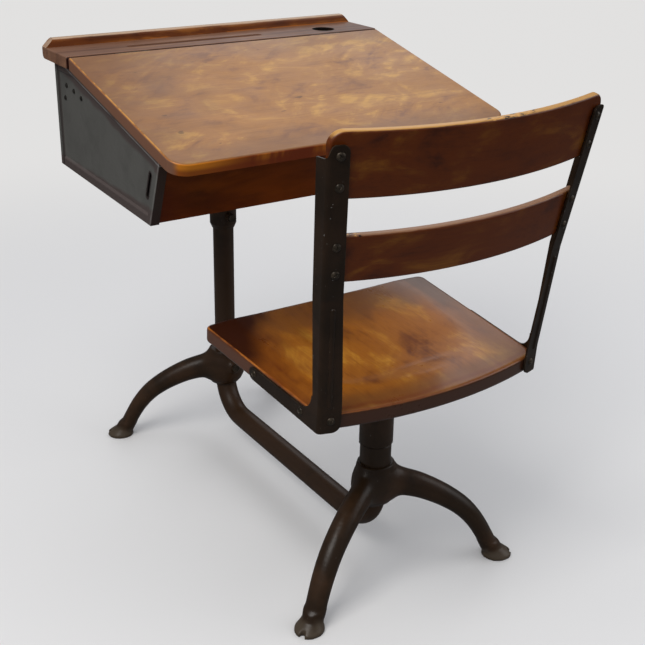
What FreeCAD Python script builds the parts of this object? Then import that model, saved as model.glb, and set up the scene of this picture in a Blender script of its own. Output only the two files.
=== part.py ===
import FreeCAD, Part
import math
import os
import Sketcher
from FreeCAD import Placement, Rotation, Vector

# A school desk with a lift lid and its swivel seat on one frame.
# A bent steel tube is the desk post, the floor rail and the seat post. Two cast
# pedestals stand on the floor. The desk box slides on the desk post, the seat turns
# and slides on the seat post, and the lid is hinged to a fixed strip.
# Millimetres, +Z up, +Y the way the sitter faces, +X the sitter's right hand.
# The origin is on the floor, under the middle of the whole object.

doc = FreeCAD.newDocument("SchoolDesk")
sheet = doc.addObject("Spreadsheet::Sheet", "Dims")

DIMENSIONS = [
    # frame tube and where its two posts stand
    ("desk_post_y", 304, "desk post, from the origin"),
    ("seat_post_y", -204, "seat post, from the origin"),
    ("tube_radius", 19.5, "frame tube, outside"),
    ("tube_wall", 2.5, "frame tube wall"),
    ("rail_height", 63, "floor rail centre line above the floor"),
    ("bend_radius", 66, "bends of the frame tube, centre line"),
    ("desk_post_below", 46, "top of the desk post below the box"),
    ("seat_post_below", 14, "top of the seat post below the top of its sleeve"),
    # cast pedestals
    ("hub_top", 190, "top of the cast hub"),
    ("hub_bottom", 121, "bottom of the cast hub"),
    ("hub_radius", 26, "cast hub, outside, at its collar"),
    ("foot_spread", 189, "foot to the side of the post"),
    ("foot_splay", 102, "foot away from the other pedestal"),
    ("pad_width", 46, "toe pad across the leg"),
    ("pad_length", 50, "toe pad along the leg"),
    ("notch_width", 9, "floor screw notch in the toe pad"),
    ("bore_play", 0.05, "casting bore over the tube"),
    # telescoping fits
    ("slide_play", 0.08, "radial running clearance on the posts"),
    # desk socket under the box
    ("set_screw_across", 13, "hexagon heads of the set screws"),
    ("set_screw_head", 6, "height of the set screws' heads"),
    ("set_screw_radius", 4, "set screws"),
    ("screw_play", 0.3, "set screw's tip off the tube"),
    ("desk_socket_length", 158, "desk socket below the box"),
    ("desk_lowering", 32, "room for the post above its end, for lowering the desk"),
    ("desk_socket_radius", 25, "desk socket, outside"),
    ("spider_thickness", 9, "arms of the two castings under box and seat"),
    ("desk_arm_inset", 105, "bolts of the desk socket's side arms, from the side of the box"),
    ("desk_arm_front", 190, "bolt of the forward arm, ahead of the post"),
    # desk box
    ("joint_ahead", 50, "joint of strip and lid, ahead of the desk post"),
    ("box_inset", 10, "outer face of a side panel inside the strip's end"),
    ("box_depth", 177, "underside of the box below the strip, at the back"),
    ("box_front_drop", 10, "front of the box's underside below its back"),
    ("box_back", 84, "back of the box behind the joint"),
    ("box_front_low", 273, "front of the box ahead of the joint, at the bottom"),
    ("box_front_high", 316, "front of the box ahead of the joint, at the top"),
    ("panel_flange", 14, "turned-in edge of a side panel"),
    ("panel_wall", 1.6, "sheet of the side panels"),
    ("panel_relief", 2.5, "embossed field of a side panel"),
    ("panel_border", 13, "plain border around the embossed field"),
    ("sheet_wall", 1.2, "sheet of the box bottom and back"),
    ("bracket_wall", 2.5, "brackets that carry the strip"),
    ("bracket_drop", 67, "lower edge of a bracket below the strip"),
    ("bracket_front", 33, "bracket ahead of the joint"),
    ("bracket_rear", 62, "bracket behind the joint"),
    ("bracket_shelf", 30, "flange of a bracket under the strip"),
    ("rivet_radius", 4.2, "heads of the bracket rivets"),
    ("slot_rise", 51, "middle of the slot above the underside of the box"),
    ("slot_width", 6, "slot near the front of a side panel"),
    ("slot_length", 44, "slot near the front of a side panel"),
    ("apron_thickness", 16, "wooden front apron"),
    # wooden top
    ("top_height", 794, "upper face of the strip"),
    ("board_thickness", 19, "strip and lid"),
    ("strip_half_width", 305, "strip, to each side"),
    ("strip_depth", 110, "strip behind the joint"),
    ("lid_inset", 2, "side of the lid inside the strip's end"),
    ("lid_length", 388, "lid along its slope"),
    ("lid_slope", 13.1, "slope of the lid in degrees"),
    ("lid_corner", 28, "rounded front corners of the lid"),
    ("joint_gap", 3, "gap between strip and lid"),
    ("edge_round", 4, "rounded edges of the wooden top"),
    ("rail_thickness", 18, "back rail on the strip"),
    ("rail_rise", 14.5, "back rail above the strip"),
    ("groove_centre", -51, "pencil groove, middle"),
    ("groove_length", 262, "pencil groove"),
    ("groove_width", 15, "pencil groove"),
    ("groove_depth", 6, "pencil groove"),
    ("groove_back", 42, "pencil groove behind the joint"),
    ("inkwell_inset", 93, "inkwell hole inside the strip's right end"),
    ("inkwell_radius", 20.5, "inkwell hole"),
    ("inkwell_back", 40, "inkwell hole behind the joint"),
    ("cleat_inset", 90, "middle of a cleat inside the strip's end"),
    ("cleat_ahead", 45, "rear end of the cleats ahead of the joint"),
    ("cleat_length", 250, "cleats under the lid"),
    ("cleat_width", 38, "cleats under the lid"),
    ("cleat_thickness", 14, "cleats under the lid"),
    # lid hinges
    ("hinge_inset", 115, "middle of each hinge inside the strip's end"),
    ("hinge_length", 60, "length of each hinge"),
    ("pin_depth", 3.2, "hinge pin below the upper face"),
    ("knuckle_radius", 2, "hinge knuckles"),
    ("hinge_pin_radius", 1.0, "hinge pin"),
    ("hinge_pin_play", 0.06, "turning knuckles over the pin"),
    ("leaf_wall", 1.1, "hinge leaves"),
    ("leaf_height", 15, "hinge leaves below the pin"),
    # seat column
    ("sleeve_radius", 24, "seat sleeve, outside"),
    ("sleeve_below", 68, "top of the seat sleeve below the seat's front edge"),
    ("sleeve_collar", 34, "thick lower end of the seat sleeve"),
    ("washer_thickness", 3, "thrust washer on the sleeve"),
    ("seat_socket_radius", 27.5, "swivel socket, outside"),
    ("swivel_clearance", 3.7, "swivel socket above the sleeve's collar"),
    # seat
    ("seat_front_height", 412, "upper face of the seat at its front edge"),
    ("seat_tilt", 4, "seat tilted back, degrees"),
    ("seat_front", 175, "front edge ahead of the seat post"),
    ("seat_rear", 162, "middle of the rear edge behind the seat post"),
    ("seat_half_front", 215, "half width at the front edge"),
    ("seat_half_rear", 199.5, "half width at the rear"),
    ("seat_thickness", 26, "seat board"),
    ("seat_dish", 9, "depth of the saddle"),
    ("seat_border", 54, "flat border at the sides of the saddle"),
    ("seat_arm_side", 110, "seat screws to the side of the post"),
    ("seat_arm_front", 95, "seat screws ahead of and behind the post"),
    # back
    ("back_radius", 720, "bow of the seat's rear edge"),
    ("slat_radius", 760, "bow of the back slats, rear face"),
    ("upright_wall", 3, "pressed steel of the uprights"),
    ("upright_leg_low", 16, "side leg of an upright front to back, at the seat"),
    ("upright_leg_middle", 23, "side leg of an upright front to back, halfway up"),
    ("upright_leg_top", 26, "side leg of an upright front to back, at the top"),
    ("upright_flange", 28, "rear flange of an upright, halfway up"),
    ("upright_flange_low", 33, "rear flange of an upright, at the seat"),
    ("upright_flange_top", 27, "rear flange of an upright, at the top"),
    ("upright_below", 50, "lower end of an upright below the seat's front edge"),
    ("upright_shoulder", 7, "where an upright begins to lean, below the seat's front edge"),
    ("upright_middle", 158, "middle section above the seat's front edge"),
    ("upright_top", 376, "upper end of an upright above the seat's front edge"),
    ("upright_spread", 9, "outer corner halfway up beyond its lower end"),
    ("upright_spread_top", 28, "outer corner at the top beyond its lower end"),
    ("upright_lean", 18, "middle of an upright behind its lower end"),
    ("upright_lean_top", 54, "top of an upright behind its lower end"),
    ("bead_radius", 4, "pressed bead in the flange of an upright"),
    ("arm_height", 21, "side arm of an upright"),
    ("arm_below", 3, "side arm below the seat's upper face"),
    ("arm_front", 40, "front end of the side arm ahead of the post"),
    ("arm_sweep", 28, "curve between the side arm and the side leg"),
    ("arm_screw_front", 28, "front arm screw ahead of the post"),
    ("arm_screw_rear", 92, "rear arm screw behind the post"),
    ("corner_screw_below", 31, "screw into the seat's rear edge below the seat's front edge"),
    ("screw_head", 6.2, "radius of the round screw heads"),
    ("screw_radius", 2.6, "shanks of the round-headed screws"),
    ("slat_thickness", 12, "back slats"),
    ("upper_slat_low", 297.5, "upper slat above the seat's front edge"),
    ("upper_slat_height", 89.5, "upper slat"),
    ("lower_slat_low", 179, "lower slat above the seat's front edge"),
    ("lower_slat_height", 67, "lower slat"),
    ("upper_slat_corner", 20, "rounded corners of the upper slat"),
    ("lower_slat_corner", 6, "rounded corners of the lower slat"),
    ("seat_play", 0.3, "between separate pieces that rest on each other"),
]

for row, (alias, value, note) in enumerate(DIMENSIONS, start=1):
    sheet.set(f"A{row}", alias)
    sheet.set(f"B{row}", str(value))
    sheet.set(f"C{row}", note)
    sheet.setAlias(f"B{row}", alias)
doc.recompute()


def dim(alias):
    return float(sheet.get(alias))


nodes = []
X_AXIS = Vector(1, 0, 0)
Y_AXIS = Vector(0, 1, 0)
Z_AXIS = Vector(0, 0, 1)


# ---------------------------------------------------------------- helpers

def keep(obj, label):
    obj.Label = label
    nodes.append(obj)
    return obj


def place(obj, corner):
    for axis, expression in zip("xyz", corner):
        obj.setExpression(f"Placement.Base.{axis}", expression)


def block(name, size, corner):
    box = doc.addObject("Part::Box", name)
    for prop, expression in zip(("Length", "Width", "Height"), size):
        box.setExpression(prop, expression)
    place(box, corner)
    return box


def rod(name, radius, length, start):
    upright_rod = doc.addObject("Part::Cylinder", name)
    upright_rod.setExpression("Radius", radius)
    upright_rod.setExpression("Height", length)
    place(upright_rod, start)
    return upright_rod


def fused(name, pieces):
    union = doc.addObject("Part::MultiFuse", name)
    union.Shapes = pieces
    return union


def cut(name, base, tool):
    result = doc.addObject("Part::Cut", name)
    result.Base = base
    result.Tool = tool
    return result


def feature(label, shape):
    obj = doc.addObject("Part::Feature", label)
    obj.Shape = shape
    return keep(obj, label)


def origin_plane(body, role):
    return next(item for item in body.Origin.OriginFeatures if item.Role == role)


def outline_sketch(body, role, points):
    """A closed outline whose corners are set by expressions in the plane's own axes."""
    sketch = body.newObject("Sketcher::SketchObject", body.Name + "_outline")
    sketch.AttachmentSupport = [(origin_plane(body, role), "")]
    sketch.MapMode = "FlatFace"
    corners = []
    for across, up in points:
        corners.append(Vector(float(sketch.evalExpression(across)), float(sketch.evalExpression(up)), 0))
    for index, corner in enumerate(corners):
        sketch.addGeometry(Part.LineSegment(corner, corners[(index + 1) % len(corners)]))
    for index in range(len(corners)):
        sketch.addConstraint(Sketcher.Constraint("Coincident", index, 2, (index + 1) % len(corners), 1))
    for index, (across, up) in enumerate(points):
        corner = corners[index]
        for kind, expression, value in (("DistanceX", across, corner.x), ("DistanceY", up, corner.y)):
            number = sketch.addConstraint(Sketcher.Constraint(kind, -1, 1, index, 1, value))
            sketch.setExpression(f"Constraints[{number}]", expression)
    return sketch


def padded_body(name, role, points, length, both_ways=False):
    body = doc.addObject("PartDesign::Body", name)
    pad = body.newObject("PartDesign::Pad", name + "_pad")
    pad.Profile = outline_sketch(body, role, points)
    pad.setExpression("Length", length)
    pad.Midplane = both_ways
    doc.recompute()
    return body


def round_edges(body, radius, chosen):
    """Fillet on the edges of the body's last feature for which chosen(edge) is true."""
    base = body.Tip
    names = [f"Edge{i}" for i, edge in enumerate(base.Shape.Edges, start=1) if chosen(edge)]
    fillet = body.newObject("PartDesign::Fillet", f"{body.Name}_fillet")
    fillet.Base = (base, names)
    fillet.setExpression("Radius", radius)
    doc.recompute()
    return fillet


def shelled(body, wall, chosen):
    """Pressed-steel tray: the chosen face is left open, the rest becomes a wall inside the outline."""
    base = body.Tip
    names = [f"Face{i}" for i, face in enumerate(base.Shape.Faces, start=1) if chosen(face)]
    shell = body.newObject("PartDesign::Thickness", f"{body.Name}_shell")
    shell.Base = (base, names)
    shell.setExpression("Value", wall)
    shell.Reversed = True
    shell.Join = "Intersection"
    doc.recompute()
    return shell


def cylinder(radius, start, end):
    axis = end - start
    return Part.makeCylinder(radius, axis.Length, start, axis)


def prism(points, along):
    """Solid between a flat closed outline and its copy moved along a vector."""
    return Part.Face(Part.makePolygon(points + [points[0]])).extrude(along)


def revolved(profile, centre, axis=Z_AXIS):
    """Solid of revolution about an axis from (radius, height) pairs."""
    points = [Vector(radius, 0, height) for radius, height in profile]
    solid = Part.Face(Part.makePolygon(points + [points[0]])).revolve(Vector(), Z_AXIS, 360)
    solid.Placement = Placement(centre, Rotation(Z_AXIS, axis))
    return solid


def dome_screw(point, outward, head_radius, head_height, shank_radius, shank_length):
    """Round head on a surface point with its shank running inwards."""
    rim = head_height * 0.35
    profile = [(0, -shank_length), (shank_radius, -shank_length), (shank_radius, 0), (head_radius, 0),
               (head_radius, rim), (head_radius * 0.6, head_height * 0.88), (0, head_height)]
    return revolved(profile, point, outward)


def round_screw(point, outward, grip):
    """Round-headed screw of the seat and back; grip is how deep its shank goes."""
    head = dim("screw_head")
    return dome_screw(point, outward, head, head * 0.47, dim("screw_radius"), grip)


def set_screw(point, outward, length):
    across, head = dim("set_screw_across"), dim("set_screw_head")
    return hex_bolt(point, outward, across, head, dim("set_screw_radius"), length)


def corner_waste(point, first, second, radius, through):
    """What a plate's rounded corner leaves over; first and second lead from the corner along its edges."""
    centre = point + (first + second) * radius
    reach = radius + 1
    square = prism([centre, centre - first * reach, centre - (first + second) * reach,
                    centre - second * reach], through)
    return square.cut(cylinder(radius, centre - through, centre + through * 2))


def hex_bolt(point, outward, across, head_height, shank_radius, shank_length):
    """Hexagon head standing on a surface point with its shank running inwards."""
    corner = across / math.sqrt(3)
    ring = [Vector(corner * math.cos(math.radians(60 * i)), corner * math.sin(math.radians(60 * i)), 0)
            for i in range(6)]
    head = prism(ring, Vector(0, 0, head_height))
    bolt = head.fuse(Part.makeCylinder(shank_radius, shank_length, Vector(0, 0, -shank_length)))
    bolt.Placement = Placement(point, Rotation(Z_AXIS, outward))
    return bolt


def oval_wire(centre, first, second, half_first, half_second):
    """Closed smooth oval; every section starts at the same side, so lofts don't twist."""
    turns = [math.tau * step / 12 for step in range(12)]
    first, second = first * half_first, second * half_second
    points = [centre + first * math.cos(turn) + second * math.sin(turn) for turn in turns]
    curve = Part.BSplineCurve()
    curve.interpolate(Points=points, PeriodicFlag=True)
    return Part.Wire(curve.toShape())


# ---------------------------------------------------------------- levels that follow the top and the seat

BOX_BOTTOM = "(Dims.top_height - Dims.board_thickness - Dims.box_depth)"


def box_half():
    return dim("strip_half_width") - dim("box_inset")


def strip_under():
    return dim("top_height") - dim("board_thickness")


def box_bottom():
    return strip_under() - dim("box_depth")


def desk_tube_top():
    return box_bottom() - dim("desk_post_below")


def sleeve_top():
    return dim("seat_front_height") - dim("sleeve_below")


def above_seat(alias):
    return dim("seat_front_height") + dim(alias)


# ---------------------------------------------------------------- frame tube and pedestals

def frame_path():
    desk_y = dim("desk_post_y")
    seat_y = dim("seat_post_y")
    low = dim("rail_height")
    bend = dim("bend_radius")
    inner = bend * (1 - math.sqrt(0.5))
    points = [Vector(0, desk_y, desk_tube_top()), Vector(0, desk_y, low + bend),
              Vector(0, desk_y - inner, low + inner), Vector(0, desk_y - bend, low),
              Vector(0, seat_y + bend, low), Vector(0, seat_y + inner, low + inner),
              Vector(0, seat_y, low + bend), Vector(0, seat_y, sleeve_top() - dim("seat_post_below"))]
    edges = [Part.LineSegment(points[0], points[1]), Part.Arc(*points[1:4]),
             Part.LineSegment(points[3], points[4]), Part.Arc(*points[4:7]),
             Part.LineSegment(points[6], points[7])]
    return Part.Wire([edge.toShape() for edge in edges]), points[0]


def swept_tube(radius):
    """Solid rod of a radius along the tube's path."""
    path, start = frame_path()
    return path.makePipeShell([Part.Wire(Part.Circle(start, Z_AXIS, radius).toShape())], True, False)


def frame_tube():
    """One tube bent twice: desk post, floor rail and seat post."""
    hollow = swept_tube(dim("tube_radius") - dim("tube_wall"))
    feature("frame_tube", swept_tube(dim("tube_radius")).cut(hollow))


# one leg, from the post outwards: share of its reach, height as a share of the hub's top,
# half depth and half width as shares of the hub's radius
LEG_SECTIONS = [(0.03, 0.82, 1.08, 0.81), (0.20, 0.79, 0.92, 0.77), (0.32, 0.76, 0.84, 0.76),
                (0.42, 0.71, 0.78, 0.75), (0.52, 0.655, 0.73, 0.74), (0.61, 0.59, 0.68, 0.73),
                (0.69, 0.525, 0.65, 0.72), (0.76, 0.44, 0.61, 0.71), (0.82, 0.35, 0.58, 0.69),
                (0.865, 0.26, 0.56, 0.67), (0.925, 0.13, 0.54, 0.65)]
# toe pad: height and distance inside the foot's point as shares of its length, size against the full pad
PAD_SECTIONS = [(0, 0, 1.0, 1.0), (0.10, 0, 1.0, 1.0), (0.20, 0.06, 0.84, 0.88), (0.34, 0.18, 0.64, 0.78),
                (0.56, 0.29, 0.58, 0.74)]


def leg(post, side, splay):
    foot = Vector(side * dim("foot_spread"), splay * dim("foot_splay"), 0)
    reach = foot.Length
    out = foot / reach
    across = Vector(-out.y, out.x, 0)
    top, radius = dim("hub_top"), dim("hub_radius")
    middles = [post + out * (share * reach) + Z_AXIS * (rise * top) for share, rise, _, _ in LEG_SECTIONS]
    wires = []
    for index, (_, _, depth, width) in enumerate(LEG_SECTIONS):
        before = middles[max(index - 1, 0)]
        after = middles[min(index + 1, len(middles) - 1)]
        above = (after - before).cross(across).normalize()
        wires.append(oval_wire(middles[index], above, across, depth * radius, width * radius))
    limb = Part.makeLoft(wires, True, True)
    length, width, notch_width = dim("pad_length"), dim("pad_width"), dim("notch_width")
    rings = []
    for rise, inside, long_share, wide_share in PAD_SECTIONS:
        middle = post + out * (reach - inside * length) + Z_AXIS * (rise * length)
        rings.append(oval_wire(middle, out, across, length / 2 * long_share, width / 2 * wide_share))
    pad = Part.makeLoft(rings, True, True)
    mouth = post + out * (reach + length / 2 - notch_width * 1.2)
    through = Z_AXIS * (length * 0.24)
    half = across * (notch_width / 2)
    far = out * notch_width * 2
    notch = cylinder(notch_width / 2, mouth, mouth + through)
    notch = notch.fuse(prism([mouth - half, mouth + half, mouth + half + far, mouth - half + far], through))
    return limb, pad.cut(notch)


def pedestal(label, post_y, splay):
    """Casting with a hub around the tube, two arched legs and toe pads, splayed away from the other post."""
    post = Vector(0, post_y, 0)
    radius = dim("hub_radius")
    top = dim("hub_top")
    bottom = dim("hub_bottom")
    bore = dim("tube_radius") + dim("bore_play")
    tall = top - bottom
    profile = [(0, bottom), (radius - 3, bottom), (radius + 1.5, bottom + tall * 0.06),
               (radius + 5, bottom + tall * 0.2), (radius + 6, bottom + tall * 0.4),
               (radius + 4, bottom + tall * 0.61), (radius + 1, bottom + tall * 0.75),
               (radius - 1, bottom + tall * 0.84), (radius, bottom + tall * 0.88), (radius, top - 2),
               (radius - 2, top), (0, top)]
    casting = revolved(profile, post)
    for side in (-1, 1):
        limb, pad = leg(post, side, splay)
        casting = casting.fuse([limb, pad])
    screw_height = (top + bottom) / 2 + 4
    boss_end = Vector(0, post_y - splay * (radius + 12), screw_height)
    casting = casting.fuse(cylinder(9, Vector(0, post_y, screw_height), boss_end))
    casting = casting.cut(swept_tube(bore))
    inward = Vector(0, splay, 0)
    screw = set_screw(boss_end, inward * -1, radius + 12 - dim("tube_radius"))
    casting = casting.cut(screw)
    feature(label, casting.removeSplitter())
    return screw


def pedestals():
    screws = [pedestal("desk_pedestal", dim("desk_post_y"), 1),
              pedestal("seat_pedestal", dim("seat_post_y"), -1)]
    feature("pedestal_set_screws", Part.makeCompound(screws))


# ---------------------------------------------------------------- socket under the desk box

JOINT = "(Dims.desk_post_y - Dims.joint_ahead)"
LID_UNDER = "Dims.board_thickness / cos(Dims.lid_slope)"


def joint_y():
    return dim("desk_post_y") - dim("joint_ahead")


def slope_height(ahead):
    """Height of the lid's upper face at a distance ahead of the joint."""
    return dim("top_height") - ahead * math.tan(math.radians(dim("lid_slope")))


# the hidden arms of the two castings under box and seat: width and depth at the hub and at the tip
DESK_ARM = {"width_start": 46, "width_end": 30, "depth": 48, "tip_depth": 12}
SEAT_ARM = {"width_start": 44, "width_end": 30, "depth": 34, "tip_depth": 11}
# an edge longer than this runs the whole width of a board or a slat
LONG_EDGE = 100
# width and height of the space above the seat's casting, which the board takes
ABOVE_WIDTH, ABOVE_HEIGHT = 600, 60


def tapered_arm(start, end, width_start, width_end, thickness, depth, tip_depth):
    """Flat cast arm with a web below it; start and end lie on its upper face."""
    out = (end - start).normalize()
    across = Vector(-out.y, out.x, 0)
    down = Z_AXIS * -thickness
    plate = prism([start + across * (width_start / 2), end + across * (width_end / 2),
                   end - across * (width_end / 2), start - across * (width_start / 2)], down)
    plate = plate.fuse(cylinder(width_end / 2, end, end + down))
    web_foot = end - out * (width_end * 0.45)
    web = prism([start - across * 4, web_foot - across * 4, web_foot - across * 4 - Z_AXIS * tip_depth,
                 start - across * 4 - Z_AXIS * depth], across * 8)
    return plate.fuse(web)


def desk_socket():
    """Casting that slides on the desk post and carries the box on three arms."""
    post = Vector(0, dim("desk_post_y"), 0)
    radius = dim("desk_socket_radius")
    seat_level = box_bottom() + dim("panel_wall")
    low = seat_level - dim("desk_socket_length")
    bore = dim("tube_radius") + dim("slide_play")
    profile = [(0, low), (bore + 1.5, low), (radius, low + 9), (radius, seat_level - 30),
               (radius + 6, seat_level - dim("spider_thickness")), (radius + 8, seat_level), (0, seat_level)]
    casting = revolved(profile, post)
    middle = post + Z_AXIS * seat_level
    reach = box_half() - dim("desk_arm_inset")
    tips = [middle + X_AXIS * reach, middle - X_AXIS * reach, middle - Y_AXIS * dim("desk_arm_front")]
    for tip in tips:
        casting = casting.fuse(tapered_arm(middle, tip, thickness=dim("spider_thickness"), **DESK_ARM))
    well = desk_tube_top() + dim("desk_lowering")
    boss_end = post + Vector(0, -radius - 8, low + 26)
    casting = casting.fuse(cylinder(8.5, post + Z_AXIS * (low + 26), boss_end))
    casting = casting.cut(cylinder(bore, post + Z_AXIS * (low - 5), post + Z_AXIS * well))
    clamp = set_screw(boss_end, Y_AXIS * -1, radius + 8 - bore - dim("screw_play"))
    bolts = [dome_screw(tip + Z_AXIS * (dim("sheet_wall")), Z_AXIS, 8, 3, 3.5,
                        dim("spider_thickness") + dim("sheet_wall")) for tip in tips]
    nuts = [hex_bolt(tip - Z_AXIS * dim("spider_thickness"), Z_AXIS * -1, 12, 5, 2, 0.01) for tip in tips]
    bolts = [bolt.fuse(nut) for bolt, nut in zip(bolts, nuts)]
    for tool in [clamp] + bolts:
        casting = casting.cut(tool)
    feature("desk_socket", casting.removeSplitter())
    feature("desk_height_screw", clamp)
    feature("desk_socket_bolts", Part.makeCompound(bolts))
    return bolts


# ---------------------------------------------------------------- desk box

def front_line(height, inset):
    """How far ahead of the joint the box's sloping front lies, that far inside its edge."""
    low, high = dim("box_front_low"), dim("box_front_high")
    corner = box_bottom() - dim("box_front_drop")
    under_lid = dim("board_thickness") / math.cos(math.radians(dim("lid_slope"))) + dim("seat_play")
    lean = (high - low) / (slope_height(high) - under_lid - corner)
    return low + (height - corner) * lean - inset * math.hypot(1, lean)


def bottom_fall():
    """How much the box's underside falls per millimetre towards the front."""
    return dim("box_front_drop") / (dim("box_front_low") + dim("box_back"))


def bottom_line(ahead):
    """Height of the box's underside at a distance ahead of the joint."""
    return box_bottom() - bottom_fall() * (ahead + dim("box_back"))


def panel_points():
    top_behind = "Dims.top_height - Dims.board_thickness"
    fall = "tan(Dims.lid_slope)"
    top_front = f"Dims.top_height - Dims.box_front_high * {fall} - {LID_UNDER} - Dims.seat_play"
    top_joint = f"Dims.top_height - {LID_UNDER} - Dims.seat_play"
    return [(f"{JOINT} + Dims.box_back", BOX_BOTTOM), (f"{JOINT} + Dims.box_back", top_behind),
            (f"{JOINT} + 1", top_behind), (JOINT, top_joint),
            (f"{JOINT} - Dims.box_front_high", top_front),
            (f"{JOINT} - Dims.box_front_low", f"{BOX_BOTTOM} - Dims.box_front_drop")]


def inset_outline(distance, x):
    """The panel's outline moved inwards, in a plane across X."""
    back = joint_y() + dim("box_back") - distance
    rise = distance * math.hypot(1, bottom_fall())
    high = strip_under() - distance
    slope = math.radians(dim("lid_slope"))
    drop = (dim("board_thickness") + dim("seat_play") + distance) / math.cos(slope)
    corner_ahead = (dim("top_height") - drop - high) / math.tan(slope)
    ahead, ahead_low = 0, 0
    for _ in range(30):
        ahead = front_line(slope_height(ahead) - drop, distance)
        ahead_low = front_line(bottom_line(ahead_low) + rise, distance)
    return [Vector(x, back, bottom_line(distance - dim("box_back")) + rise), Vector(x, back, high),
            Vector(x, joint_y() - corner_ahead, high),
            Vector(x, joint_y() - ahead, slope_height(ahead) - drop),
            Vector(x, joint_y() - ahead_low, bottom_line(ahead_low) + rise)]


def frustum(near, far):
    return Part.makeLoft([Part.makePolygon(ring + [ring[0]]) for ring in (near, far)], True, True)


def side_panel(side):
    """Pressed tray with turned-in edges, a recessed field and a slot; side is 1 for right, -1 for left."""
    name = "box_side_right" if side > 0 else "box_side_left"
    body = padded_body(name + "_tray", "YZ_Plane", panel_points(), "Dims.panel_flange")
    shelled(body, "Dims.panel_wall", lambda face: face.normalAt(0, 0).x < -0.99)
    tray = body.Shape.copy()
    depth, wall = dim("panel_flange"), dim("panel_wall")
    border, relief = dim("panel_border"), dim("panel_relief")
    back_wall = frustum(inset_outline(border - 1, depth - wall),
                        inset_outline(border + 3, depth - wall - relief))
    recess = frustum(inset_outline(border, depth), inset_outline(border + 4, depth - relief))
    shape = tray.fuse(back_wall).cut(recess)
    middle_height = box_bottom() + dim("slot_rise")
    lean = (front_line(middle_height + 10, 0) - front_line(middle_height - 10, 0)) / 20
    along = Vector(0, -lean, 1).normalize()
    centre = Vector(0, joint_y() - front_line(middle_height, dim("panel_border") + 14), middle_height)
    across = Vector(0, along.z, -along.y) * (dim("slot_width") / 2)
    half = along * ((dim("slot_length") - dim("slot_width")) / 2)
    slot = prism([centre - half - across, centre - half + across,
                  centre + half + across, centre + half - across], X_AXIS * depth)
    for end in (centre - half, centre + half):
        slot = slot.fuse(cylinder(dim("slot_width") / 2, end, end + X_AXIS * depth))
    shape = shape.cut(slot)
    shape.translate(X_AXIS * (box_half() - depth))
    if side < 0:
        shape = shape.mirror(Vector(), X_AXIS)
    return name, shape


# rivets of a bracket: share of its reach behind the joint, share of its drop below the strip
RIVET_PLACES = [(0.65, 0.52), (0.15, 0.58), (-0.34, 0.67), (0.79, 0.85)]


def bracket_rivets(side):
    face = box_half() - dim("panel_relief")
    grip = dim("panel_wall") + dim("bracket_wall") + 1.5
    radius = dim("rivet_radius")
    rivets = []
    for behind, below in RIVET_PLACES:
        point = Vector(side * face, joint_y() + behind * dim("bracket_rear"),
                       strip_under() - below * dim("bracket_drop"))
        rivets.append(dome_screw(point, X_AXIS * side, radius, radius * 0.57, radius * 0.52, grip))
    return rivets


def strip_bracket(side, rivets):
    """Angle that carries the strip on the side panel, joggled round the panel's turned-in edge."""
    wall, drop = dim("bracket_wall"), dim("bracket_drop")
    outer = box_half() - dim("panel_relief") - dim("panel_wall")
    top = strip_under()
    flange = box_half() - dim("panel_flange")
    front, rear = joint_y() - dim("bracket_front"), joint_y() + dim("bracket_rear")
    start = joint_y() + dim("bracket_front") / 4
    leg_top = top - dim("panel_wall")
    plate = prism([Vector(0, front, top - drop * 0.8), Vector(0, front + drop * 0.15, top - drop),
                   Vector(0, rear, top - drop), Vector(0, rear, leg_top), Vector(0, start, leg_top),
                   Vector(0, front, top - drop * 0.46)], X_AXIS * wall)
    plate.translate(X_AXIS * (outer - wall))
    inner = flange - wall - dim("seat_play")
    run = rear - start
    step = Part.makeBox(outer - inner, run, wall, Vector(inner, start, leg_top - wall))
    riser = Part.makeBox(wall, run, wall + dim("panel_wall"), Vector(inner, start, leg_top - wall))
    shelf = Part.makeBox(dim("bracket_shelf"), run, wall,
                         Vector(inner + wall - dim("bracket_shelf"), start, top - wall))
    shape = plate.fuse([step, riser, shelf])
    if side < 0:
        shape = shape.mirror(Vector(), X_AXIS)
    for rivet in rivets:
        shape = shape.cut(rivet)
    return shape.removeSplitter()


def box_sides():
    for side, word in ((-1, "left"), (1, "right")):
        name, shape = side_panel(side)
        rivets = bracket_rivets(side)
        for rivet in rivets:
            shape = shape.cut(rivet)
        feature(name, shape)
        feature(f"strip_bracket_{word}", strip_bracket(side, rivets))
        feature(f"bracket_rivets_{word}", Part.makeCompound(rivets))


def front_apron():
    """Sloping board behind the panels' front edges."""
    front, rear = dim("panel_wall"), dim("panel_wall") + dim("apron_thickness")
    low = bottom_line(front_line(box_bottom(), rear)) + dim("panel_wall") + dim("seat_play")
    slope = math.radians(dim("lid_slope"))
    under = (dim("board_thickness") + dim("panel_wall") + 2 * dim("seat_play")) / math.cos(slope)
    corners = []
    for inset in (front, rear):
        ahead = 0
        for _ in range(30):
            ahead = front_line(slope_height(ahead) - under, inset)
        ends = [(joint_y() - front_line(low, inset), low), (joint_y() - ahead, slope_height(ahead) - under)]
        corners += ends if inset == front else ends[::-1]
    half = box_half() - dim("panel_wall") - dim("panel_relief") - dim("seat_play")
    feature("front_apron", prism([Vector(-half, y, z) for y, z in corners], X_AXIS * (2 * half)))


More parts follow.
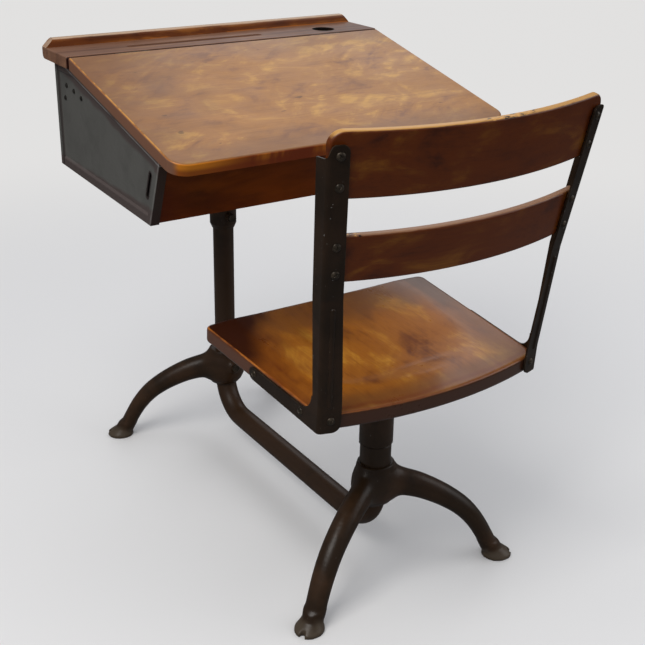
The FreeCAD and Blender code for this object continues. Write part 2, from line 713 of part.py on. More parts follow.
def box_sheets(bolts):
    half = box_half() - dim("panel_wall")
    wall = dim("sheet_wall")
    floor = box_bottom() + dim("panel_wall")
    front = joint_y() - front_line(floor, dim("panel_wall") + dim("apron_thickness"))
    back = joint_y() + dim("box_back") - dim("panel_wall")
    side = half - dim("panel_relief") - dim("seat_play")
    bottom = Part.makeBox(2 * side, back - front, wall, Vector(-side, front, floor))
    for bolt in bolts:
        bottom = bottom.cut(bolt)
    feature("box_bottom", bottom)
    low = floor + wall
    high = strip_under()
    shoulder = high - dim("panel_wall") - dim("seat_play")
    inner = box_half() - dim("panel_flange") - 1
    hem_depth = dim("panel_flange")
    sheet_back = Part.makeBox(2 * half, wall, shoulder - low, Vector(-half, back - wall, low))
    middle = Part.makeBox(2 * inner, wall, high - low, Vector(-inner, back - wall, low))
    hem = Part.makeBox(2 * inner, hem_depth, wall, Vector(-inner, back - hem_depth, high - wall))
    feature("box_back", sheet_back.fuse([middle, hem]).removeSplitter())


# ---------------------------------------------------------------- wooden top, lid and hinges

def hinge_parts(side):
    """Butt hinge let into the joint: leaf with two knuckles, leaf with one knuckle, and the pin."""
    length = dim("hinge_length")
    middle = side * (dim("strip_half_width") - dim("hinge_inset"))
    start = Vector(middle - length / 2, joint_y(), dim("top_height") - dim("pin_depth"))
    third = length / 3
    gap = 0.15
    knuckle = dim("knuckle_radius")
    face = dim("joint_gap") / 2
    wall = dim("leaf_wall")
    pin = cylinder(dim("hinge_pin_radius"), start, start + X_AXIS * length)

    def knuckle_at(first, last):
        return cylinder(knuckle, start + X_AXIS * first, start + X_AXIS * last)

    def leaf_plate(direction, first, last, top):
        low = start + Vector(first, face if direction > 0 else -face - wall, -dim("leaf_height"))
        return Part.makeBox(last - first, wall, dim("leaf_height") + top, low)

    ends = [(0, third - gap), (2 * third + gap, length)]
    strip_leaf = leaf_plate(1, 0, length, -knuckle)
    for first, last in ends:
        strip_leaf = strip_leaf.fuse([leaf_plate(1, first, last, 1), knuckle_at(first, last)])
    strip_leaf = strip_leaf.cut(cylinder(dim("hinge_pin_radius"), start, start + X_AXIS * length))
    lid_leaf = leaf_plate(-1, 0, length, -knuckle - 0.4)
    lid_leaf = lid_leaf.fuse([leaf_plate(-1, third + gap, 2 * third - gap, 1),
                              knuckle_at(third + gap, 2 * third - gap)])
    bore = dim("hinge_pin_radius") + dim("hinge_pin_play")
    lid_leaf = lid_leaf.cut(cylinder(bore, start, start + X_AXIS * length))
    return strip_leaf, lid_leaf, pin


def hinges():
    for side, word in ((-1, "left"), (1, "right")):
        strip_leaf, lid_leaf, pin = hinge_parts(side)
        feature(f"hinge_strip_leaf_{word}", strip_leaf.removeSplitter())
        feature(f"hinge_lid_leaf_{word}", lid_leaf.removeSplitter())
        feature(f"hinge_pin_{word}", pin)


def leaf_recess(name, side, behind):
    """Shallow mortise for a hinge leaf, in the strip's or the lid's edge."""
    depth = "(Dims.leaf_wall + 0.1)"
    start = f"{JOINT} + Dims.joint_gap / 2 - 0.5" if behind else f"{JOINT} - Dims.joint_gap / 2 - {depth}"
    middle = f"{side} * (Dims.strip_half_width - Dims.hinge_inset)"
    return block(name, ("Dims.hinge_length + 0.4", f"{depth} + 0.5", "Dims.leaf_height + 1.4"),
                 (f"{middle} - Dims.hinge_length / 2 - 0.2", start,
                  "Dims.top_height - Dims.pin_depth - Dims.leaf_height - 0.2"))


def top_strip():
    """Fixed strip behind the lid with the pencil groove and the inkwell hole."""
    front = f"{JOINT} + Dims.joint_gap / 2"
    back = f"{JOINT} + Dims.strip_depth"
    corners = [("-Dims.strip_half_width", front), ("Dims.strip_half_width", front),
               ("Dims.strip_half_width", back), ("-Dims.strip_half_width", back)]
    body = padded_body("strip_board", "XY_Plane", corners, "Dims.board_thickness")
    body.setExpression("Placement.Base.z", "Dims.top_height - Dims.board_thickness")
    thickness = dim("board_thickness")
    front_y = joint_y() + dim("joint_gap") / 2
    back_y = joint_y() + dim("strip_depth")

    def front_top(edge):
        box = edge.BoundBox
        return box.XLength > LONG_EDGE and abs(box.ZMin - thickness) < 0.01 and abs(box.YMin - front_y) < 0.01

    def back_low(edge):
        box = edge.BoundBox
        return box.XLength > LONG_EDGE and abs(box.ZMax) < 0.01 and abs(box.YMin - back_y) < 0.01

    def end_edges(edge):
        box = edge.BoundBox
        return box.YLength > 50 and abs(box.ZMin - thickness) < 0.01

    round_edges(body, "Dims.edge_round", front_top)
    round_edges(body, "Dims.edge_round * 2", back_low)
    round_edges(body, "Dims.edge_round / 2", end_edges)
    floor = "Dims.top_height - Dims.groove_depth"
    straight = "(Dims.groove_length - Dims.groove_width)"
    left = f"Dims.groove_centre - {straight} / 2"
    middle = f"{JOINT} + Dims.groove_back"
    pieces = [block("groove_run", (straight, "Dims.groove_width", "Dims.groove_depth + 5"),
                    (left, f"{middle} - Dims.groove_width / 2", floor)),
              rod("groove_left", "Dims.groove_width / 2", "Dims.groove_depth + 5", (left, middle, floor)),
              rod("groove_right", "Dims.groove_width / 2", "Dims.groove_depth + 5",
                  (f"Dims.groove_centre + {straight} / 2", middle, floor)),
              rod("inkwell_hole", "Dims.inkwell_radius", "Dims.board_thickness + 10",
                  ("Dims.strip_half_width - Dims.inkwell_inset", f"{JOINT} + Dims.inkwell_back",
                   "Dims.top_height - Dims.board_thickness - 5")),
              leaf_recess("strip_recess_left", -1, True), leaf_recess("strip_recess_right", 1, True)]
    keep(cut("top_strip", body, fused("strip_cuts", pieces)), "top_strip")


def back_rail():
    base, crown = "Dims.top_height", "Dims.top_height + Dims.rail_rise"
    corners = [("-Dims.strip_half_width", base), ("Dims.strip_half_width", base),
               ("Dims.strip_half_width - Dims.rail_thickness * 0.8", crown),
               ("-Dims.strip_half_width + Dims.rail_thickness * 0.8", crown)]
    body = padded_body("back_rail", "XZ_Plane", corners, "Dims.rail_thickness")
    body.setExpression("Placement.Base.y", f"{JOINT} + Dims.strip_depth")
    crown_height = dim("top_height") + dim("rail_rise")

    def crown_edges(edge):
        box = edge.BoundBox
        return box.XLength > LONG_EDGE and abs(box.ZMin - crown_height) < 0.01

    round_edges(body, "Dims.edge_round * 1.4", crown_edges)
    keep(body, "back_rail")


def lid():
    """Lift lid: sloping board with rounded front corners and a bevelled rear edge beside the joint."""
    cos, sin = "cos(Dims.lid_slope)", "sin(Dims.lid_slope)"
    rear = f"{JOINT} - Dims.joint_gap / 2"
    fall = "tan(Dims.lid_slope)"
    front_y = f"{JOINT} - Dims.lid_length * {cos}"
    front_z = f"Dims.top_height - Dims.lid_length * {sin}"
    corners = [(rear, f"Dims.top_height - Dims.joint_gap / 2 * {fall}"), (front_y, front_z),
               (f"{front_y} + Dims.board_thickness * {sin}", f"{front_z} - Dims.board_thickness * {cos}"),
               (rear, f"Dims.top_height - Dims.joint_gap / 2 * {fall} - {LID_UNDER}")]
    width = "2 * (Dims.strip_half_width - Dims.lid_inset)"
    body = padded_body("lid_board", "YZ_Plane", corners, width, both_ways=True)
    thickness = dim("board_thickness")
    ahead = joint_y() - dim("lid_length") * 0.8

    def front_corner(edge):
        box = edge.BoundBox
        return box.XLength < 0.01 and box.YMax < ahead and abs(edge.Length - thickness) < 0.01

    round_edges(body, "Dims.lid_corner", front_corner)

    def upper_edge(edge):
        middle = edge.valueAt((edge.FirstParameter + edge.LastParameter) / 2)
        on_top = abs(middle.z - slope_height(joint_y() - middle.y)) < 0.01
        return on_top and edge.Length > 5

    round_edges(body, "Dims.edge_round * 0.8", upper_edge)
    recesses = [leaf_recess("lid_recess_left", -1, False), leaf_recess("lid_recess_right", 1, False)]
    keep(cut("lid", body, fused("lid_cuts", recesses)), "lid")


def lid_cleats():
    cos, sin = "cos(Dims.lid_slope)", "sin(Dims.lid_slope)"
    for side, word in ((-1, "left"), (1, "right")):
        cleat = doc.addObject("Part::Box", f"lid_cleat_{word}")
        cleat.setExpression("Length", "Dims.cleat_width")
        cleat.setExpression("Width", "Dims.cleat_length")
        cleat.setExpression("Height", "Dims.cleat_thickness")
        cleat.Placement = Placement(Vector(), Rotation(X_AXIS, dim("lid_slope")))
        down = "(Dims.board_thickness + Dims.cleat_thickness)"
        ahead = "(Dims.cleat_length + Dims.cleat_ahead)"
        place(cleat, (f"{side} * (Dims.strip_half_width - Dims.cleat_inset) - Dims.cleat_width / 2",
                      f"{JOINT} - {ahead} * {cos} + {down} * {sin}",
                      f"Dims.top_height - {ahead} * {sin} - {down} * {cos}"))
        keep(cleat, f"lid_cleat_{word}")


# ---------------------------------------------------------------- seat column

def seat_column():
    """Sleeve that slides on the seat post, its set screw and the washer that the swivel turns on."""
    post = Vector(0, dim("seat_post_y"), 0)
    radius = dim("sleeve_radius")
    low = dim("hub_top") + dim("seat_play")
    high = sleeve_top()
    bore = dim("tube_radius") + dim("slide_play")
    shoulder = low + dim("sleeve_collar")
    profile = [(bore, low), (radius + 1.5, low), (radius + 1.5, shoulder), (radius, shoulder + 2),
               (radius, high), (bore, high)]
    boss_height = post + Z_AXIS * (low + 18)
    boss_end = boss_height + Y_AXIS * (radius + 7)
    sleeve = revolved(profile, post).fuse(cylinder(8, boss_height, boss_end))
    sleeve = sleeve.cut(cylinder(bore, post, post + Z_AXIS * (high + 5)))
    screw = set_screw(boss_end, Y_AXIS, radius + 7 - bore - dim("screw_play"))
    feature("seat_sleeve", sleeve.cut(screw).removeSplitter())
    feature("seat_height_screw", screw)
    top = high + dim("washer_thickness")
    rim = radius - 0.5
    feature("swivel_washer", revolved([(bore, high), (rim, high), (rim, top), (bore, top)], post))


# ---------------------------------------------------------------- seat

def seat_origin():
    rise = dim("seat_front") * math.sin(math.radians(dim("seat_tilt")))
    return Vector(0, dim("seat_post_y"), dim("seat_front_height") - rise)


def on_seat(shape):
    """Moves a shape from the seat's own tilted axes, whose origin is on its upper face, to its place."""
    placed = shape.copy()
    placed.Placement = Placement(seat_origin(), Rotation(X_AXIS, dim("seat_tilt"))).multiply(shape.Placement)
    return placed


def seat_rear_corner():
    half = dim("seat_half_rear")
    return dim("back_radius") - math.sqrt(dim("back_radius") ** 2 - half ** 2) - dim("seat_rear")


def seat_screws():
    under = -dim("seat_thickness") - dim("spider_thickness")
    screws = []
    for side in (-1, 1):
        for way in (-1, 1):
            point = Vector(side * dim("seat_arm_side"), way * dim("seat_arm_front"), under)
            screws.append(on_seat(hex_bolt(point, Z_AXIS * -1, 11, 5, 3, dim("spider_thickness") + 13)))
    return screws


def seat_spider(screws):
    """Swivel socket cast in one with the four arms under the seat."""
    post = Vector(0, dim("seat_post_y"), 0)
    outer = dim("seat_socket_radius")
    low = dim("hub_top") + dim("seat_play") + dim("sleeve_collar") + dim("swivel_clearance")
    bearing = sleeve_top() + dim("washer_thickness") + dim("bore_play")
    origin = seat_origin()
    under = origin.z - dim("seat_thickness")
    profile = [(0, low), (outer, low), (outer, under - 34), (outer + 9, under - 16),
               (outer + 11, under + 15), (0, under + 15)]
    casting = revolved(profile, post)
    middle = Vector(0, 0, -dim("seat_thickness"))
    for side in (-1, 1):
        for way in (-1, 1):
            tip = middle + Vector(side * dim("seat_arm_side"), way * dim("seat_arm_front"), 0)
            arm = tapered_arm(middle, tip, thickness=dim("spider_thickness"), **SEAT_ARM)
            casting = casting.fuse(on_seat(arm))
    above = Part.makeBox(ABOVE_WIDTH, ABOVE_WIDTH, ABOVE_HEIGHT,
                         Vector(-ABOVE_WIDTH / 2, -ABOVE_WIDTH / 2, -dim("seat_thickness")))
    casting = casting.cut(on_seat(above))
    casting = casting.cut(cylinder(dim("sleeve_radius") + dim("slide_play"), post + Z_AXIS * (low - 5),
                                   post + Z_AXIS * bearing))
    for screw in screws:
        casting = casting.cut(screw)
    feature("seat_spider", casting.removeSplitter())


# saddle of the seat, from front to rear: shares of the board's length, of the width and of the depth
SADDLE_SECTIONS = [(1.02, 1.0, 0.45), (0.84, 1.03, 0.75), (0.60, 1.0, 0.95), (0.36, 0.97, 1.0),
                   (0.21, 0.80, 0.8), (0.11, 0.5, 0.12)]


def saddle_section(along, width_share, depth_share):
    back, front = seat_rear_corner(), dim("seat_front")
    y = back + (front - back) * along
    half = (dim("seat_half_front") - dim("seat_border")) * width_share
    depth = dim("seat_dish") * depth_share
    points = [Vector(half * share, y, -depth * fall) for share, fall in
              ((-1, 0), (-0.72, 0.55), (-0.36, 0.93), (0, 1), (0.36, 0.93), (0.72, 0.55), (1, 0))]
    curve = Part.BSplineCurve()
    curve.interpolate(points)
    rim = [points[-1], points[-1] + Z_AXIS * 9, points[0] + Z_AXIS * 9, points[0]]
    return Part.Wire([curve.toShape()] + [Part.LineSegment(a, b).toShape() for a, b in zip(rim, rim[1:])])


def seat_board(holes):
    """Seat board with a bowed front, a round rear edge and a saddle cut into its upper face."""
    front, corner = dim("seat_front"), seat_rear_corner()
    half_front, half_rear = dim("seat_half_front"), dim("seat_half_rear")
    nose = Vector(0, front + 9, 0)
    a, b = Vector(-half_front, front, 0), Vector(half_front, front, 0)
    c, d = Vector(half_rear, corner, 0), Vector(-half_rear, corner, 0)
    edges = [Part.Arc(a, nose, b), Part.LineSegment(b, c), Part.Arc(c, Vector(0, -dim("seat_rear"), 0), d),
             Part.LineSegment(d, a)]
    board = Part.Face(Part.Wire([edge.toShape() for edge in edges])).extrude(Z_AXIS * -dim("seat_thickness"))
    front_corners = [edge for edge in board.Edges if edge.BoundBox.ZLength > 20 and edge.BoundBox.YMin > 0]
    board = board.makeFillet(15, front_corners)
    rear_corners = [edge for edge in board.Edges if edge.BoundBox.ZLength > 20 and edge.BoundBox.YMax < 0]
    board = board.makeFillet(5, rear_corners)
    rim = [edge for edge in board.Edges if abs(edge.BoundBox.ZMin) < 0.01 and abs(edge.BoundBox.ZMax) < 0.01]
    board = board.makeFillet(dim("edge_round"), rim)
    under = [edge for edge in board.Edges if abs(edge.BoundBox.ZMin + dim("seat_thickness")) < 0.01
             and edge.BoundBox.ZLength < 0.01]
    board = board.makeFillet(dim("edge_round") / 2, under)
    saddle = Part.makeLoft([saddle_section(*section) for section in SADDLE_SECTIONS], True, False)
    board = on_seat(board.cut(saddle))
    for hole in holes:
        board = board.cut(hole)
    feature("seat_board", board)


# ---------------------------------------------------------------- uprights and back slats

def seat_side_slope():
    return (dim("seat_half_front") - dim("seat_half_rear")) / (dim("seat_front") - seat_rear_corner())


def upright_levels():
    """Outer corner of the right upright at its section levels, from the seat post's axis on the floor."""
    slope = seat_side_slope()
    behind = seat_rear_corner() - dim("upright_wall")
    side = dim("seat_half_front") - (dim("seat_front") - behind) * slope
    side += (dim("seat_play") + dim("upright_wall")) * math.hypot(1, slope)
    seat = dim("seat_front_height")
    tilt = math.tan(math.radians(dim("seat_tilt")))
    edge_height = seat_origin().z + seat_rear_corner() * tilt

    def against_edge(below):
        """The corner at a height below the seat's front edge, on the line of the board's rear edge."""
        height = seat - dim(below)
        return Vector(side, behind + (edge_height - height) * tilt, height)

    base, shoulder = against_edge("upright_below"), against_edge("upright_shoulder")
    middle = Vector(side + dim("upright_spread"), behind - dim("upright_lean"),
                    seat + dim("upright_middle"))
    top = Vector(side + dim("upright_spread_top"), behind - dim("upright_lean_top"),
                 seat + dim("upright_top"))
    return [base, shoulder, middle, top]


def corner_at(levels, height):
    """Outer corner of the right upright's upper part at a height."""
    middle, top = levels[2], levels[3]
    return middle + (top - middle) * ((height - middle.z) / (top.z - middle.z))


def leg_direction():
    return Vector(seat_side_slope(), 1, 0).normalize()


def flange_direction():
    """Inwards and backwards, along the bow of the slats at the uprights."""
    _, _, middle, top = upright_levels()
    bow = math.asin((middle.x + top.x) / 2 / dim("slat_radius"))
    return Vector(-math.cos(bow), -math.sin(bow), 0)


def angle_section(corner, leg_depth, flange_width):
    """Section of an upright: side leg and rear flange, round outside and inside the bend."""
    u, v = leg_direction(), flange_direction()
    wall = dim("upright_wall")
    inside_u = Vector(-u.y, u.x, 0)
    inside_v = Vector(v.y, -v.x, 0)
    sine = abs(u.cross(v).z)
    inner = corner + (u + v) * (wall / sine)
    outer_round, inner_round = wall + 2, 2

    def bend(point, size):
        first, last = point + u * size, point + v * size
        middle = point + (u + v) * (size * (1 - math.sqrt(0.5)))
        return first, middle, last

    a, b, c = bend(corner, outer_round)
    d, e, f = bend(inner, inner_round)
    leg_end, flange_end = corner + u * leg_depth, corner + v * flange_width
    edges = [Part.LineSegment(leg_end, a), Part.Arc(a, b, c), Part.LineSegment(c, flange_end),
             Part.LineSegment(flange_end, flange_end + inside_v * wall),
             Part.LineSegment(flange_end + inside_v * wall, f), Part.Arc(f, e, d),
             Part.LineSegment(d, leg_end + inside_u * wall),
             Part.LineSegment(leg_end + inside_u * wall, leg_end)]
    return Part.Wire([edge.toShape() for edge in edges])


def side_arm(base):
    """Arm of an upright along the seat's side, with a curved corner at the side leg, and the waste below it."""
    u = leg_direction()
    tilt = math.radians(dim("seat_tilt"))
    origin = seat_origin()

    def at(ahead, below):
        """A point on the arm's outer face, ahead of the post and below the seat's upper face."""
        run = (ahead - base.y) / u.y
        return Vector(base.x + u.x * run, ahead, origin.z + ahead * math.tan(tilt) - below)

    height, tip = dim("arm_height"), dim("arm_front")
    wall = dim("upright_wall")
    radius = height / 2
    rise = dim("arm_sweep")
    corner = rise * (1 - math.sqrt(0.5))
    leg_front = base.y + dim("upright_leg_low") * u.y
    top = dim("arm_below")
    low = top + height
    last = tip - radius
    bend = base.y + wall * 2
    fall = (at(last, low).z - base.z) / (last - base.y)

    def under(ahead):
        """A point on the arm's lower edge, which runs straight into the upright's lower corner."""
        run = (ahead - base.y) / u.y
        return Vector(base.x + u.x * run, ahead, base.z + (ahead - base.y) * fall)

    edges = [Part.LineSegment(under(bend), at(last, low)),
             Part.Arc(at(last, low), at(tip, (top + low) / 2), at(last, top)),
             Part.LineSegment(at(last, top), at(leg_front + rise, top)),
             Part.Arc(at(leg_front + rise, top), at(leg_front + corner, top - corner),
                      at(leg_front, top - rise)),
             Part.LineSegment(at(leg_front, top - rise), at(bend, top - rise)),
             Part.LineSegment(at(bend, top - rise), under(bend))]
    face = Part.Face(Part.Wire([edge.toShape() for edge in edges]))
    inwards = Vector(-u.y, u.x, 0)
    outside = inwards * -wall
    below = [under(base.y) + outside, under(last) + outside, under(last) + outside - Z_AXIS * height,
             under(base.y) + outside - Z_AXIS * height]
    return face.extrude(inwards * wall), prism(below, inwards * (wall * 3))


def stiffening_bead(levels):
    """Pressed bead on the back of the rear flange, from the seat to below the lower slat."""
    v = flange_direction()
    outward = Vector(-v.y, v.x, 0)
    shoulder, middle = levels[1], levels[2]
    run = middle - shoulder
    radius, flange = dim("bead_radius"), dim("upright_flange")
    along = v * (flange * 0.53) - outward * (radius * 0.45)
    start = shoulder + along
    end = shoulder + run * 0.91 + along
    bead = cylinder(radius, start, end).fuse([Part.makeSphere(radius, start), Part.makeSphere(radius, end)])
    foot = shoulder - run * 0.2 - outward
    slab = prism([foot, foot + v * flange, foot + v * flange + run * 1.3, foot + run * 1.3],
                 outward * radius * 2)
    return bead.common(slab)


# screws of each slat: share of its height
SLAT_SCREWS = {"upper": (0.25, 0.715), "lower": (0.27, 0.87)}


def slat_screw_points(levels):
    """Screw positions on an upright's flange: point on its rear face and the way out."""
    v = flange_direction()
    outward = Vector(-v.y, v.x, 0)
    points = []
    for word, shares in SLAT_SCREWS.items():
        for share in shares:
            height = above_seat(f"{word}_slat_low") + dim(f"{word}_slat_height") * share
            points.append(corner_at(levels, height) + v * (dim("upright_flange") * 0.55))
    return points, outward


def corner_screw(levels):
    """Screw through an upright's flange into the rear edge of the seat."""
    v = flange_direction()
    outward = Vector(-v.y, v.x, 0)
    height = dim("seat_front_height") - dim("corner_screw_below")
    base, shoulder = levels[:2]
    corner = base + (shoulder - base) * ((height - base.z) / (shoulder.z - base.z))
    point = corner + v * (dim("upright_flange_low") * 0.55)
    return round_screw(point, outward, dim("upright_wall") + 16)


# top of an upright, from the bend: share of the width and drop as a share of the flange's width
FLANGE_CREST = [(-0.22, -0.64), (0, -0.58), (0.05, -0.42), (0.1, -0.25), (0.18, -0.09), (0.32, 0)]
LEG_CREST = [(0.11, -0.61), (0.26, -0.69), (0.44, -0.72), (0.74, -0.73), (1.5, -0.73)]


def upright(levels, fasteners):
    """Pressed-steel upright: angle section that splays and leans, with the arm along the seat's side."""
    u, v = leg_direction(), flange_direction()
    inside_u, inside_v = Vector(-u.y, u.x, 0), Vector(v.y, -v.x, 0)
    wall, flange = dim("upright_wall"), dim("upright_flange_top")
    sizes = (("upright_leg_low", "upright_flange_low"), ("upright_leg_low", "upright_flange_low"),
             ("upright_leg_middle", "upright_flange"), ("upright_leg_top", "upright_flange_top"))
    sections = [angle_section(level, dim(depth), dim(width)) for level, (depth, width) in zip(levels, sizes)]
    arm, below_arm = side_arm(levels[0])
    shape = Part.makeLoft(sections, True, True).cut(below_arm)
    shape = shape.fuse([arm, stiffening_bead(levels)]).removeSplitter()
    top = levels[3]
    lean = (top - levels[2]).normalize()
    for along, crest, start, through in ((v, FLANGE_CREST, inside_v * -4, inside_v * (wall + 6)),
                                         (u, LEG_CREST, inside_u * -4, inside_u * (wall + 4.2))):
        outline = [top + along * (share * flange) + lean * (drop * flange) + start for share, drop in crest]
        above = [outline[-1] + lean * flange, outline[0] + lean * flange]
        shape = shape.cut(prism(outline + above, through))
    through = inside_v * 12
    crest_corner = top + v * flange - inside_v * 4
    foot_width = dim("upright_flange_low")
    foot_corner = levels[0] + v * foot_width - inside_v * 4
    shape = shape.cut(corner_waste(crest_corner, v * -1, lean * -1, flange * 0.38, through))
    shape = shape.cut(corner_waste(foot_corner, v * -1, Z_AXIS, foot_width * 0.4, through))
    for tool in fasteners:
        shape = shape.cut(tool)
    return shape


def slat(levels, low, height, corner_round):
    """Bent slat against the front of both upright flanges, leaning back with them."""
    v = flange_direction()
    radius, thickness = dim("slat_radius"), dim("slat_thickness")
    touch = corner_at(levels, low) + v * (dim("upright_flange") / 2)
    touch += Vector(v.y, -v.x, 0) * (dim("upright_wall") + dim("seat_play"))
    base = Vector(0, touch.y - radius + math.sqrt(radius ** 2 - touch.x ** 2), low)
    lean = levels[3] - levels[2]
    tilt = math.atan2(-lean.y, lean.z)
    tall = height / math.cos(tilt)
    inner = dim("upright_wall") + 0.5
    half_low, half_high = [corner_at(levels, level).x - inner for level in (low, low + height)]
    angle = math.asin((half_high + 10) / (radius - thickness))

    def arc(size, way):
        across, along = size * math.sin(angle), radius - size * math.cos(angle)
        return Part.Arc(Vector(-way * across, along, 0), Vector(0, radius - size, 0),
                        Vector(way * across, along, 0))

    rear, front = arc(radius, 1), arc(radius - thickness, -1)
    edges = [rear, Part.LineSegment(rear.EndPoint, front.StartPoint), front,
             Part.LineSegment(front.EndPoint, rear.StartPoint)]
    band = Part.Face(Part.Wire([edge.toShape() for edge in edges])).extrude(Z_AXIS * tall)
    depth = radius / 2
    outline = [Vector(half_low, -depth, 0), Vector(half_high, -depth, tall),
               Vector(-half_high, -depth, tall), Vector(-half_low, -depth, 0)]
    shape = band.common(prism(outline, Y_AXIS * (2 * depth)))
    short = [edge for edge in shape.Edges if edge.Length < thickness * 1.5 and edge.BoundBox.ZLength < 2]
    shape = shape.makeFillet(corner_round, short)
    rims = [edge for edge in shape.Edges if edge.BoundBox.XLength > LONG_EDGE]
    shape = shape.makeFillet(dim("edge_round") * 0.9, rims)
    shape.Placement = Placement(base, Rotation(X_AXIS, math.degrees(tilt)))
    return shape


def arm_screws(levels):
    """Round-headed screws through the right upright's side arm into the edge of the seat."""
    u = leg_direction()
    outward = Vector(u.y, -u.x, 0)
    middle = seat_origin().z - dim("arm_below") - dim("arm_height") / 2
    screws = []
    for ahead in (-dim("arm_screw_rear"), dim("arm_screw_front")):
        run = (ahead - levels[0].y) / u.y
        rise = ahead * math.tan(math.radians(dim("seat_tilt")))
        point = Vector(levels[0].x + u.x * run, ahead, middle + rise)
        screws.append(round_screw(point, outward, dim("upright_wall") + 20))
    return screws


def back():
    """Uprights, slats and their screws; returns the tools that drill the seat board."""
    levels = upright_levels()
    post = Vector(0, dim("seat_post_y"), 0)
    points, outward = slat_screw_points(levels)
    slat_screws = [round_screw(point, outward, dim("upright_wall") + 9) for point in points]
    side_screws = arm_screws(levels)
    rear_screw = corner_screw(levels)
    slats = [slat(levels, above_seat("lower_slat_low"), dim("lower_slat_height"), dim("lower_slat_corner")),
             slat(levels, above_seat("upper_slat_low"), dim("upper_slat_height"), dim("upper_slat_corner"))]
    right = upright(levels, slat_screws + side_screws + [rear_screw])
    for screw in slat_screws + [screw.mirror(Vector(), X_AXIS) for screw in slat_screws]:
        slats = [board.cut(screw) for board in slats]
    seat_holes = []
    for word, mirrored in (("right", False), ("left", True)):
        groups = {f"upright_{word}": [right], f"slat_screws_{word}": slat_screws,
                  f"arm_screws_{word}": side_screws, f"corner_screw_{word}": [rear_screw]}
        for label, shapes in groups.items():
            shapes = [shape.translated(post) for shape in shapes]
            if mirrored:
                shapes = [shape.mirror(Vector(), X_AXIS) for shape in shapes]
            if label.startswith(("arm", "corner")):
                seat_holes += shapes
            feature(label, shapes[0] if len(shapes) == 1 else Part.makeCompound(shapes))
    for label, board in zip(("back_slat_lower", "back_slat_upper"), slats):
        board.translate(post)
        feature(label, board)
    return seat_holes


# ---------------------------------------------------------------- the whole desk

def build():
    frame_tube()
    pedestals()
    socket_bolts = desk_socket()
    box_sides()
    front_apron()
    box_sheets(socket_bolts)
    top_strip()
    back_rail()
    hinges()
    lid()
    lid_cleats()
    seat_column()
    board_screws = seat_screws()
    seat_spider(board_screws)
    arm_holes = back()
    seat_board(board_screws + arm_holes)
    feature("seat_spider_screws", Part.makeCompound(board_screws))


def check():
    for obj in doc.Objects:
        if "Invalid" in obj.State or "Error" in obj.State:
            raise RuntimeError(f"{obj.Name} did not compute: {obj.State}")
    for node in nodes:
        if node.Shape.isNull() or not node.Shape.isValid() or not node.Shape.Solids:
            raise RuntimeError(f"{node.Label} is not a valid solid")


def export():
    os.makedirs("parts", exist_ok=True)
    for node in nodes:
        node.Shape.exportStep(f"parts/{node.Label}.step")


build()
doc.recompute()
check()
export()
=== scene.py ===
"""A school desk with a lift lid and a swivel seat: its shapes, finishes and stage."""

import math
from functools import partial
from types import SimpleNamespace

import bpy
import numpy as np
from mathutils import Matrix, Vector


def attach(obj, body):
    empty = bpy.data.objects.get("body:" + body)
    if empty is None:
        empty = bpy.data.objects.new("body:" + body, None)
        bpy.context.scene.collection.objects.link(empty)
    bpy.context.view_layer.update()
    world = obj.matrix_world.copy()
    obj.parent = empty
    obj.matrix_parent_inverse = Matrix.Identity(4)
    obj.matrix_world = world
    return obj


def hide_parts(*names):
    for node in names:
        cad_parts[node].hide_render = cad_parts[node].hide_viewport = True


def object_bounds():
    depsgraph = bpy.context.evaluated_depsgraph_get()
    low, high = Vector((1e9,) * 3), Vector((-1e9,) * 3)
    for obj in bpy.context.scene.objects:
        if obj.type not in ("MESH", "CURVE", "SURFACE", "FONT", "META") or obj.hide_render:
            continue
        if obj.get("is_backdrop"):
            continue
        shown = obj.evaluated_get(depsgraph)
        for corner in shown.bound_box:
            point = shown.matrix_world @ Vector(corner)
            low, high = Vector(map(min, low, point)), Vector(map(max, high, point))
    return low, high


bl_info = {
    "name": "School desk with lift lid",
    "version": (1, 0, 0),
    "blender": (4, 5, 0),
    "location": "3D View > Sidebar > Desk",
    "description": "Dresses a school desk with a swivel seat in cast iron, enamel and varnished wood",
    "category": "Object",
}

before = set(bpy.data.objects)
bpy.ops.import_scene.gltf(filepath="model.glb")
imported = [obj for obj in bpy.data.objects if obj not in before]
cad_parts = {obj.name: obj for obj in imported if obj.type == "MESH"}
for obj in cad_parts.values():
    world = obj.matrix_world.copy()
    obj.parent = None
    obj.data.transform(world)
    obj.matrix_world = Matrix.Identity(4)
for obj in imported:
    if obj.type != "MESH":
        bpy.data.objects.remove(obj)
frame_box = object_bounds()


def seen(red, green, blue):
    """A linear colour from the three values, 0 to 255, that it shows on a screen."""
    return tuple((value / 255 / 12.92 if value <= 10 else ((value / 255 + 0.055) / 1.055) ** 2.4)
                 for value in (red, green, blue))


def dimmed(tint, share):
    """A colour with less light in it, or with more where the share is over one."""
    return tuple(value * share for value in tint)


# ---- sizes and colours

def number(name, description, default, **more):
    return bpy.props.FloatProperty(name=name, description=description, default=default, min=0.0, **more)


def length(name, description, default):
    return number(name, description, default, subtype="DISTANCE", unit="LENGTH", precision=4)


def colour(name, description, *shown):
    return bpy.props.FloatVectorProperty(name=name, description=description, default=seen(*shown), size=3,
                                         min=0.0, max=1.0, subtype="COLOR")


